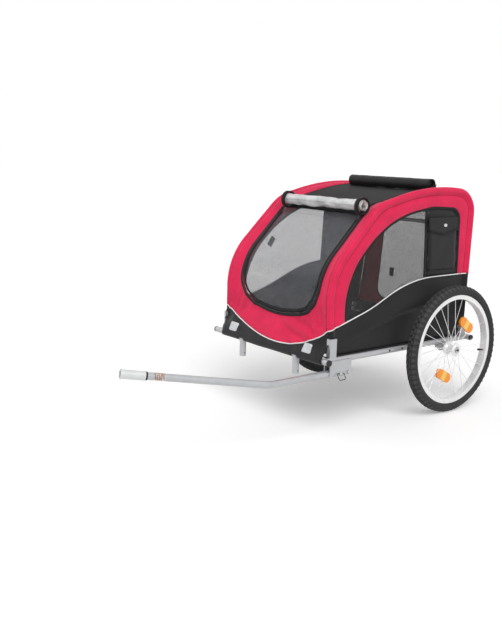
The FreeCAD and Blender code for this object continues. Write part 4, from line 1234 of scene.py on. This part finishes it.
def make_roof():
    """Black see-through roof between the front panel and the rear one, and a red strip along each hoop."""
    left = roof_edge(1)
    right = roof_edge(-1)[::-1]
    half = front_window_half
    front = vectors((-half, wing_end), (-half, front_end), (half, front_end), (half, wing_end))
    back = run_of([left[-1], right[0]], wide_step)
    loop = left[:-1] + back[:-1] + right[:-1] + run_of(front, wide_step)[:-1]
    for name, sign in (("left", 1), ("right", -1)):
        edge = band_edge(wing_end, rear_start, sign) + roof_edge(sign)[::-1]
        cloth_piece(name + "_roof_border", [edge[::sign]], edge_step, roof_place, red_cloth,
                    "roof_panel")
    cloth_piece("roof_cloth", [loop], wide_step, roof_place, roof_mesh,
                "roof_panel")


def rear_place(x, s):
    """Point of the rear cloth."""
    return on_band(x, s, wave("rear", x, s))


def make_rear():
    """Red rear panel round a mesh window, and the low black panel under it."""
    half = rear_window_half
    corners = vectors((half, rear_window_top), (half, rear_window_bottom),
                      (-half, rear_window_bottom), (-half, rear_window_top))
    window = rounded(corners, [rear_window_corner] * len(corners), closed=True)
    hole = closed_run([Vector((p.x, rear_s(p.y))) for p in window], edge_step)
    seam = rear_s(rear_piping_height)
    for name, start, end, holes, material, node in (
            ("rear_red", rear_start, seam, [hole], red_cloth, "rear_red_panel"),
            ("rear_lower", seam, rear_end, [], black_cloth, "rear_lower_panel")):
        left = band_edge(start, end, 1)
        right = band_edge(end, start, -1)
        loop = (left[:-1] + run_of([left[-1], right[0]], edge_step)[:-1] + right[:-1]
                + run_of([right[-1], left[0]], edge_step)[:-1])
        cloth_piece(name, [loop] + holes, rear_spacing, rear_place, material,
                    node)
    cloth_piece("rear_window_mesh", [hole], mesh_spacing, rear_place, rear_fly_mesh,
                "rear_mesh", thickness=mesh_cloth)
    points = [on_band(p.x, p.y, rear_tape_out) for p in hole]
    stitched_tape("rear_window_tape", "rear_window_stitches", points, band_ups(hole), binding_width,
                  stitch_rows_at, closed=True)


make_roof()
make_rear()


# White piping

piping_lift = 0.001
piping_least_out = 0.003
piping_end_shares = (0.8, 1.5)
piping_inset = 0.004
piping_front_steps = 60
piping_rear_steps = 20
piping_joint_index = joint_index + 3
evening_rounds = 6


def evened(points):
    """Points drawn towards their neighbours, with the ends kept."""
    for _ in range(evening_rounds):
        points = ([points[0]] + [(a + b * 2 + c) / 4 for a, b, c in zip(points, points[1:], points[2:])]
                  + [points[-1]])
    return points


def make_piping():
    """One cord along the seam, from the left rear leg round the front to the right one, and one behind."""
    rear_share, front_share = piping_end_shares
    last = piping_line.reach(0, leg_y(rear_seam_height, True) + sleeve_radius * rear_share)
    first = piping_line.reach(0, leg_y(piping_start_height, False) + sleeve_radius * front_share)
    side = [at_side(p, max(lower_side_out(p.x, p.y), piping_least_out) + piping_lift)
            for p in piping_line.between(last, first, fine_step)]
    centre = at_side(sleeve_line.at(front_leg_s), 0.0)
    ring = corner_section[piping_joint_index:len(tube_angles) + 1]
    corner = [p + (p - centre).normalized() * piping_lift for p in reversed(ring)]
    half = band_half(front_s(piping_start_height)) - piping_inset
    front = [front_place(p.x, p.y, piping_lift) for p in front_seam(half, piping_front_steps)]
    end = evened(side + corner + front[:1])
    seam = rear_s(rear_piping_height)
    wide = band_half(seam)
    rear = [on_band(x, seam, piping_lift) for x in evenly(wide, -wide, piping_rear_steps)]
    for name, points in (("seam_piping", end + front[1:-1] + mirrored(end)[::-1]), ("rear_piping", rear)):
        ups = [Vector((0, 0, 1))] * len(points)
        cord = swept(name, points, ups, round_section(piping_radius), white_cord)
        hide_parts("piping")


make_piping()


# Rolled covers and their straps

roll_step = 0.0065
roll_turn_sides = 26
roll_core_dent_share = 0.3
wide_dents = (22, 0.9)
fine_dents = (45, 2.2)
fine_dent_share = 0.6
fine_dent_slice = 5
roll_shift = 0.008
strap_width = 0.018
strap_thickness = 0.0065
strap_sink = 0.001
strap_wrinkle = 0.0005
strap_wrinkle_close = (2, 9)
strap_sides = 48

# Each roll: node, core, turns, crease, slack, how far its ends are moved, material and noise slice
rolls = {
    "front_cover_roll": ("front_roll", 0.011, 2.5, 0.0054, 0.0020, (roll_shift, roll_shift), clear_film,
                         71.0),
    "roof_cover_roll": ("roof_roll", 0.005, 3.0, 0.0014, -0.0022, (0.010, -0.012), black_cloth, 81.0),
}


def roll_dent(x, angle, seed):
    """Share of a roll's crease by which its face is dented, in wide folds and fine ones."""
    wide = ripple(x * wide_dents[0], angle * wide_dents[1], seed)
    fine = ripple(x * fine_dents[0], angle * fine_dents[1], seed + fine_dent_slice)
    return wide - fine_dent_share * abs(fine)


def make_roll(name, node, core, turns, crease, slack, moves, material, seed):
    """Sheet rolled up in the space of a node, a little slack in it, with its ends moved by a little."""
    low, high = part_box(node)
    centre = (low + high) / 2
    outer = max(high.y - low.y, high.z - low.z) / 2 - slack
    start, end = low.x + moves[0], high.x + moves[1]
    steps = max(4, round((end - start) / roll_step))
    columns = round(turns * roll_turn_sides)
    verts = []
    uvs = []
    for x in evenly(start, end, steps):
        for k in range(columns + 1):
            share = k / columns
            angle = 2 * math.pi * turns * share
            dent_share = roll_core_dent_share + (1 - roll_core_dent_share) * share
            radius = core + (outer - crease - core) * share + crease * roll_dent(x, angle, seed) * dent_share
            verts.append((x, centre.y + radius * math.cos(angle), centre.z + radius * math.sin(angle)))
            uvs.append((x, angle * (core + outer) / 2))
    piece = add_mesh(name, verts, grid_faces(steps + 1, columns + 1, flip=True), material, uvs=uvs)
    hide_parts(node)
    thicken(piece, mesh_cloth)


def make_straps():
    """Webbing loops round the two ends of the rolled front cover."""
    low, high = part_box("front_roll_straps")
    centre = (low + high) / 2
    inner = (high.z - low.z) / 2 - strap_thickness + strap_sink
    round_close, end_close = strap_wrinkle_close
    ways = [Vector((0, math.cos(angle), math.sin(angle))) for angle in circle(strap_sides)]
    for name, x in (("left_roll_strap", high.x - strap_width / 2 + roll_shift),
                    ("right_roll_strap", low.x + strap_width / 2 + roll_shift)):
        points = []
        for way in ways:
            wrinkle = strap_wrinkle * ripple(way.y * round_close, way.z * round_close, x * end_close)
            points.append(Vector((x, centre.y, centre.z)) + way * (inner + wrinkle))
        strap = swept(name, points, ways, flat_section(strap_width, strap_thickness), black_tape, closed=True)
        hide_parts("front_roll_straps")


for roll_name, roll in rolls.items():
    make_roll(roll_name, *roll)
make_straps()


# Pocket, flap and reflective patches

pocket_corner = 0.012
pouch_out = 0.0015
pouch_swell = 0.0060
pouch_edge = 0.012
flap_shoulder = 0.016
flap_tip_radius = 0.030
flap_out = 0.0105
flap_droop = 0.0012
flap_tape = (0.007, 0.0012)
flap_tape_lift = 0.0002
stud_radii = (0.009, 0.006)
stud_height = 0.0016
stud_lift = 0.0001
stud_shift = 0.008
stud_drop = 0.030
stud_sides = 28
stud_ring_shares = ((1.0, 0.0), (1.0, 0.5), (0.92, 0.85), (0.75, 1.0))
patch_width = 0.045
patch_bottom_room = 0.001
patch_ribs = 5
patch_rib_steps = 4
patch_rows = 8
patch_rib_height = 0.0014
patch_out = 0.0020
patch_edge_out = 0.0004
patch_corner_share = 0.18
patch_corner_powers = (8, 7)


def round_stud(name, centre, up, radii, height, material, body="chassis"):
    """Low oval stud with a soft edge, standing on a surface that faces along up."""
    side = Vector((0, 1, 0))
    other = up.cross(side)
    verts = []
    for share, rise in stud_ring_shares:
        for angle in circle(stud_sides):
            verts.append(centre + side * (radii[0] * share * math.cos(angle))
                         + other * (radii[1] * share * math.sin(angle)) + up * (height * rise))
    rings = len(stud_ring_shares)
    faces = grid_faces(rings, stud_sides, columns_close=True)
    faces.append(tuple((rings - 1) * stud_sides + i for i in range(stud_sides)))
    faces.append(tuple(reversed(range(stud_sides))))
    add_mesh(name, verts, faces, material, body)


def make_pouch():
    """Flat pouch that swells a little."""
    low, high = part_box("side_pocket")
    front, back = low.y - axle_y, high.y - axle_y
    corners = vectors((front, low.z), (back, low.z), (back, high.z), (front, high.z))
    loop = closed_run(rounded(corners, [pocket_corner] * len(corners), closed=True), fine_step)

    def pouch_place(y, z):
        edge = min(y - front, back - y, z - low.z, high.z - z)
        swell = pouch_swell * smooth(edge / pouch_edge)
        return at_side(Vector((y, z)), pouch_out + swell + wave("pouch", y, z))

    cloth_piece("pocket_pouch", [loop], fine_step, pouch_place, black_cloth,
                "side_pocket")


def make_flap():
    """Pointed flap with a bound edge and a bare oval stud."""
    low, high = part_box("pocket_flap")
    start, end = low.y - axle_y, high.y - axle_y
    shoulder = low.z + flap_shoulder
    corners = vectors((start, high.z), (start, shoulder), ((start + end) / 2, low.z), (end, shoulder),
                      (end, high.z))
    lower = rounded(corners, [pocket_corner, flap_tip_radius, pocket_corner])

    def flap_place(y, z, lift=0.0):
        drop = (high.z - z) / (high.z - low.z)
        return at_side(Vector((y, z)), flap_out + flap_droop * drop + wave("flap", y, z) + lift)

    cloth_piece("pocket_flap_cloth", [closed_run(lower, fine_step)], fine_step, flap_place, black_cloth,
                "pocket_flap", "pocket_flap")
    edge = [flap_place(p.x, p.y, flap_tape_lift) for p in run_of(lower, fine_step)]
    swept("pocket_flap_tape", edge, [side_outward] * len(edge), flat_section(*flap_tape), black_tape,
          "pocket_flap")
    spot = flap_place((start + end) / 2 + stud_shift, high.z - stud_drop, stud_lift)
    round_stud("pocket_stud", spot, side_outward, stud_radii, stud_height, pale_badge, "pocket_flap")


def make_patches():
    """Silver reflective patches on the front slope, each with ribs down its face and drawn-in corners."""
    low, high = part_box("reflective_patches")
    bottom, top = front_s(low.z + patch_bottom_room), front_s(high.z)
    columns, rows = patch_ribs * patch_rib_steps, patch_rows
    across_power, up_power = patch_corner_powers
    for name, start in (("left_patch", high.x - patch_width), ("right_patch", low.x)):
        verts = []
        for i in range(columns + 1):
            for k in range(rows + 1):
                rib = patch_rib_height * abs(math.sin(math.pi * patch_ribs * i / columns))
                edge = patch_out if 0 < i < columns and 0 < k < rows else patch_edge_out
                corner = patch_corner_share * abs(2 * i / columns - 1) ** across_power
                corner *= (2 * k / rows - 1) ** up_power
                share = min(1.0, max(0.0, k / rows - corner / 2))
                verts.append(front_place(start + patch_width * i / columns, bottom + (top - bottom) * share,
                                         edge + rib))
        patch = add_mesh(name, verts, grid_faces(columns + 1, rows + 1, flip=True), silver_tape)
        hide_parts("reflective_patches")


make_pouch()
make_flap()
make_patches()


# Tyres

tread_depth = 0.0030
tyre_shares = ((0.0, 1.0), (0.35, 0.985), (0.65, 0.90), (0.88, 0.74), (0.99, 0.54), (0.98, 0.34),
               (0.86, 0.16), (0.66, 0.03), (0.60, -0.05))
curve_steps = 3
crown_blur = 0.001
tyre_sides = 120
tyre_columns = 22
block_count = 68
block_foot = -0.0006
block_lean_share = 0.86

# Each tread block: corners across from the crown and by shares of the pitch round it, and its height's share
block_shapes = (
    (((0.0012, -0.36), (0.0085, -0.20), (0.0085, 0.44), (0.0012, 0.28)), 0.95),
    (((0.0105, -0.44), (0.0285, -0.06), (0.0285, 0.06), (0.0105, 0.44)), 0.75),
)


def tyre_profile():
    """Half section of the tyre from its crown to the rim, as X and radius."""
    low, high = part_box("left_tyre")
    radius = (high.z - low.z) / 2
    half = (high.x - low.x) / 2
    rim_low, rim_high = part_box("left_rim")
    rim = (rim_high.z - rim_low.z) / 2
    height = radius - tread_depth - rim
    corners = [Vector((half * a, rim + height * b)) for a, b in tyre_shares]
    fine = []
    for i in range(len(corners) - 1):
        before = corners[i - 1] if i else Vector((-corners[1].x, corners[1].y))
        after = corners[i + 2] if i + 2 < len(corners) else corners[i + 1] * 2 - corners[i]
        a, b = corners[i], corners[i + 1]
        for k in range(curve_steps):
            t = k / curve_steps
            fine.append(0.5 * (2 * a + (b - before) * t + (2 * before - 5 * a + 4 * b - after) * t ** 2
                               + (3 * a - before - 3 * b + after) * t ** 3))
    return Line(fine + [corners[-1]])


def tyre_point(profile, q, angle, height, centre):
    """Point of the tyre at a length across from its crown, an angle round it and a height over its skin."""
    way = profile.way(max(abs(q), crown_blur), crown_blur)
    spot = profile.at(abs(q)) + Vector((-way.y, way.x)) * height
    return centre + Vector((math.copysign(spot.x, q), spot.y * math.cos(angle), spot.y * math.sin(angle)))


def tread_block(verts, faces, place, shape, height):
    """Raised block over a flat outline, with sides that lean in a little."""
    count = len(shape)
    mid = sum(vectors(*shape), Vector((0, 0))) / count
    first = len(verts)
    for share, rise in ((1.0, block_foot), (block_lean_share, height)):
        for p in shape:
            spot = mid + (Vector(p) - mid) * share
            verts.append(place(spot.x, spot.y, rise))
    faces += [tuple(first + k for k in face) for face in grid_faces(2, count, columns_close=True)]
    faces.append(tuple(first + count + i for i in range(count)))


def make_tyre(side):
    """Tyre with a round carcass, two staggered rows of centre blocks and wedge-shaped shoulder blocks, the
    blocks painted lighter than the carcass as painted light on their tops and painted shade in the grooves.
    """
    profile = tyre_profile()
    centre = middle_of(side + "_tyre")

    def place(q, angle, height):
        return tyre_point(profile, q, angle, height, centre)

    marks = [profile.length * (2 * k / tyre_columns - 1) for k in range(tyre_columns + 1)]
    verts = [place(q, angle, 0.0) for angle in circle(tyre_sides) for q in marks]
    faces = grid_faces(tyre_sides, len(marks), rows_close=True)
    carcass = len(faces)
    pitch = 2 * math.pi / block_count
    for i in range(block_count):
        for sign in (-1, 1):
            lag = pitch * i + (pitch / 2 if sign > 0 else 0)
            for shape, height_share in block_shapes:
                block = [(sign * across, lag + pitch * share) for across, share in shape]
                tread_block(verts, faces, place, block[::sign], tread_depth * height_share)
    piece = add_mesh(side + "_tread_tyre", verts, faces, tyre_rubber, side + "_wheel")
    # The blocks take the lighter rubber: painted light on their tops against painted shade in the grooves of
    # the darker carcass.
    piece.data.materials.append(painted_lit_block_rubber)
    for polygon in piece.data.polygons[carcass:]:
        polygon.use_smooth = False
        polygon.material_index = 1
    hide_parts(side + "_tyre")


# Small details

reflector_circle = 0.110
reflector_angles = (-118.0, 54.0)
reflector_half_height = 0.018
band_half_length = 0.012
band_lift = 0.0004
band_shares = (-1.0, -0.9, 0.9, 1.0)
spring_half_length = 0.0141
spring_turns = 4.5
spring_mean_radius = 0.0118
spring_wire = 0.0018
spring_steps = 60
screw_places = ((-0.3105, 0.2735), (-0.2445, 0.2735))
screw_radius = 0.0042
screw_height = 0.0022
screw_sink = 0.0004
tab_size = (0.024, 0.0016)
tab_lift = 0.0004
side_tab = ((-0.409, 0.600), (-0.388, 0.634))
rear_tab_x = -0.097
rear_tab_heights = (0.463, 0.500)


def make_reflector_bands(side):
    """Bright middle band on the two faces of a wheel's spoke reflectors."""
    low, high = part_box(side + "_reflectors")
    centre = middle_of(side + "_tyre")
    thick = (high.x - low.x) / 2 + band_lift
    wide = band_half_length
    section = [(wide, -thick), (wide, thick), (-wide, thick), (-wide, -thick)]
    for i, place in enumerate(reflector_angles):
        angle = math.radians(place)
        out = Vector((0, math.cos(angle), math.sin(angle)))
        middle = Vector(((low.x + high.x) / 2, centre.y, centre.z)) + out * reflector_circle
        points = [middle + out * (reflector_half_height * share) for share in band_shares]
        band = swept("%s_reflector_band_%d" % (side, i), points, [Vector((1, 0, 0))] * len(points), section,
                     yellow_lens, side + "_wheel")
        band.data.shade_flat()


def make_spring():
    """Coil round the hitch's cross joint, in two halves that are built in place and ride on no body."""
    joints = {joint["name"]: joint for joint in frame["record"]["behaviour"]["joints"]}
    middle = Vector(joints["hitch_yaw"]["pos_m"])
    up = Vector(joints["hitch_yaw"]["axis"]).normalized()
    side = Vector(joints["hitch_pitch"]["axis"]).normalized()
    half_way = side.cross(up) * spring_half_length
    for i, (name, body, other) in enumerate((("spring_rear", "chassis", "hitch_swivel"),
                                             ("spring_front", "hitch_swivel", "coupler"))):
        points = []
        radials = []
        for k in range(spring_steps + 1):
            share = (i + k / spring_steps) / 2
            angle = 2 * math.pi * spring_turns * share
            radials.append(side * math.cos(angle) + up * math.sin(angle))
            points.append(middle + half_way * (2 * share - 1) + radials[-1] * spring_mean_radius)
        coil = swept(name, points, radials, round_section(spring_wire), copper_steel, None)
        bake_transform(coil)
        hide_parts("hitch_spring")


def make_rail_screws(side, sign):
    """Domed screw heads on the outside of a rail."""
    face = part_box("left_side_rail")[1].x - screw_sink
    for i, (y, z) in enumerate(screw_places):
        round_stud("%s_rail_screw_%d" % (side, i), Vector((sign * face, y + axle_y, z)), Vector((sign, 0, 0)),
                   (screw_radius, screw_radius), screw_height, dark_steel)


def make_mesh_tabs():
    """Short hook-tape tabs on the right side window and the rear window."""
    beside = mirrored([at_side(p, tab_lift) for p in vectors(*side_tab)])
    behind = [Vector((rear_tab_x, rear_s(height))) for height in rear_tab_heights]
    for name, points, up in (
            ("right_mesh_tab", beside, mirrored([side_outward])[0]),
            ("rear_mesh_tab", [on_band(p.x, p.y, tab_lift) for p in behind], band_ups(behind)[0])):
        swept(name, points, [up] * 2, flat_section(*tab_size), black_tape)


for make_wheel_piece in (make_tyre, make_reflector_bands):
    for wheel_side in ("left", "right"):
        make_wheel_piece(wheel_side)
make_spring()
make_rail_screws("left", 1)
make_rail_screws("right", -1)
make_mesh_tabs()


# Finishes of the solids that stay

finishes = {
    silver_paint: ("axle_gussets", "axle_receivers", "corner_brackets", "front_cross_tube", "front_posts",
                   "hitch_fork", "left_hoop", "right_hoop", "left_side_rail", "right_side_rail",
                   "rear_cross_tube", "roof_bars", "tow_bar", "tow_bracket"),
    pale_paint: ("coupler_tube",),
    bright_steel: ("hitch_cross", "hitch_plug", "lock_pin", "tow_bolt", "wheel_axles",
                   "left_bearings", "right_bearings"),
    spoke_steel: ("left_spokes", "right_spokes"),
    dark_steel: ("lock_pin_ring", "bracket_bolts"),
    rim_alloy: ("left_rim", "right_rim", "left_hub", "right_hub"),
    black_rubber: ("hitch_rubber_ring", "left_valve", "right_valve"),
    black_plastic: ("tube_end_caps", "left_release_button", "right_release_button", "floor_board"),
    orange_lens: ("left_reflectors", "right_reflectors"),
}
for material, names in finishes.items():
    for name in names:
        nodes[name].data.materials.clear()
        nodes[name].data.materials.append(material)


# Camera, floor and light

floor_half = 30.0
floor_tone = 0.90
floor_seen_light = 0.25
world_light = 0.45
world_seen_light = 1.0
white = (1, 1, 1, 1)
# Each lamp: the place it shines from, its strength and its spread in degrees
lamps = {
    "key": ((2.7, -1.5, 3.3), 1.75, 45),
    "fill": ((-2.4, -2.0, 2.4), 0.35, 60),
}


def add_object(name, data):
    """New object in the scene."""
    thing = bpy.data.objects.new(name, data)
    bpy.context.scene.collection.objects.link(thing)
    return thing


def make_camera():
    """Camera at the photograph's place, turned by its small roll."""
    back = Vector((math.sin(camera_azimuth) * math.cos(camera_elevation),
                   -math.cos(camera_azimuth) * math.cos(camera_elevation), math.sin(camera_elevation)))
    data = bpy.data.cameras.new("camera")
    data.sensor_width = sensor_width
    data.lens = focal_pixels / photo_long_side * sensor_width
    camera = add_object("camera", data)
    camera.location = camera_target + back * camera_distance
    turn = (-back).to_track_quat("-Z", "Y")
    camera.rotation_mode = "QUATERNION"
    camera.rotation_quaternion = turn @ Matrix.Rotation(camera_roll, 3, "Z").to_quaternion()
    bpy.context.scene.camera = camera


def seen_share(tree):
    """1 where the camera, a reflection or a clear surface looks at the background, else 0."""
    path = add_node(tree, "ShaderNodeLightPath", {}).outputs
    first = math_node(tree, "MAXIMUM", path["Is Camera Ray"], path["Is Glossy Ray"])
    return math_node(tree, "MAXIMUM", first, path["Is Transmission Ray"])


def make_world():
    """Even pale light, seen as white."""
    world = bpy.data.worlds.new("studio")
    bpy.context.scene.world = world
    world.use_nodes = True
    tree = world.node_tree
    light = tree.nodes["Background"]
    fill(tree, light, {"Color": white, "Strength": world_light})
    seen = add_node(tree, "ShaderNodeBackground", {"Color": white, "Strength": world_seen_light})
    mix = add_node(tree, "ShaderNodeMixShader",
                   {0: seen_share(tree), 1: light.outputs[0], 2: seen.outputs[0]})
    fill(tree, tree.nodes["World Output"], {"Surface": mix.outputs[0]})


def make_floor():
    """Wide pale floor that takes the shadow and is seen a little brighter than it lights."""
    half = floor_half
    mesh = bpy.data.meshes.new("floor")
    corners = [(-half, -half, 0), (half, -half, 0), (half, half, 0), (-half, half, 0)]
    mesh.from_pydata(corners, [], [(0, 1, 2, 3)])
    material, tree, shader = node_material("pale floor")
    fill(tree, shader, {"Base Color": (floor_tone, floor_tone, floor_tone, 1),
                        "Roughness": 0.9, "Specular IOR Level": 0.0, "Emission Color": white,
                        "Emission Strength": math_node(tree, "MULTIPLY", seen_share(tree), floor_seen_light)})
    mesh.materials.append(material)
    add_object("floor", mesh)


def make_lamp(name, place, strength, spread):
    """Even light from a wide patch of sky, whose middle lies towards a place."""
    data = bpy.data.lights.new(name, "SUN")
    data.energy = strength
    data.angle = math.radians(spread)
    add_object(name, data).rotation_euler = Vector(place).to_track_quat("Z", "Y").to_euler()


make_camera()
make_world()
make_floor()
for lamp_name, lamp in lamps.items():
    make_lamp(lamp_name, *lamp)

bpy.context.scene.view_settings.view_transform = "Standard"
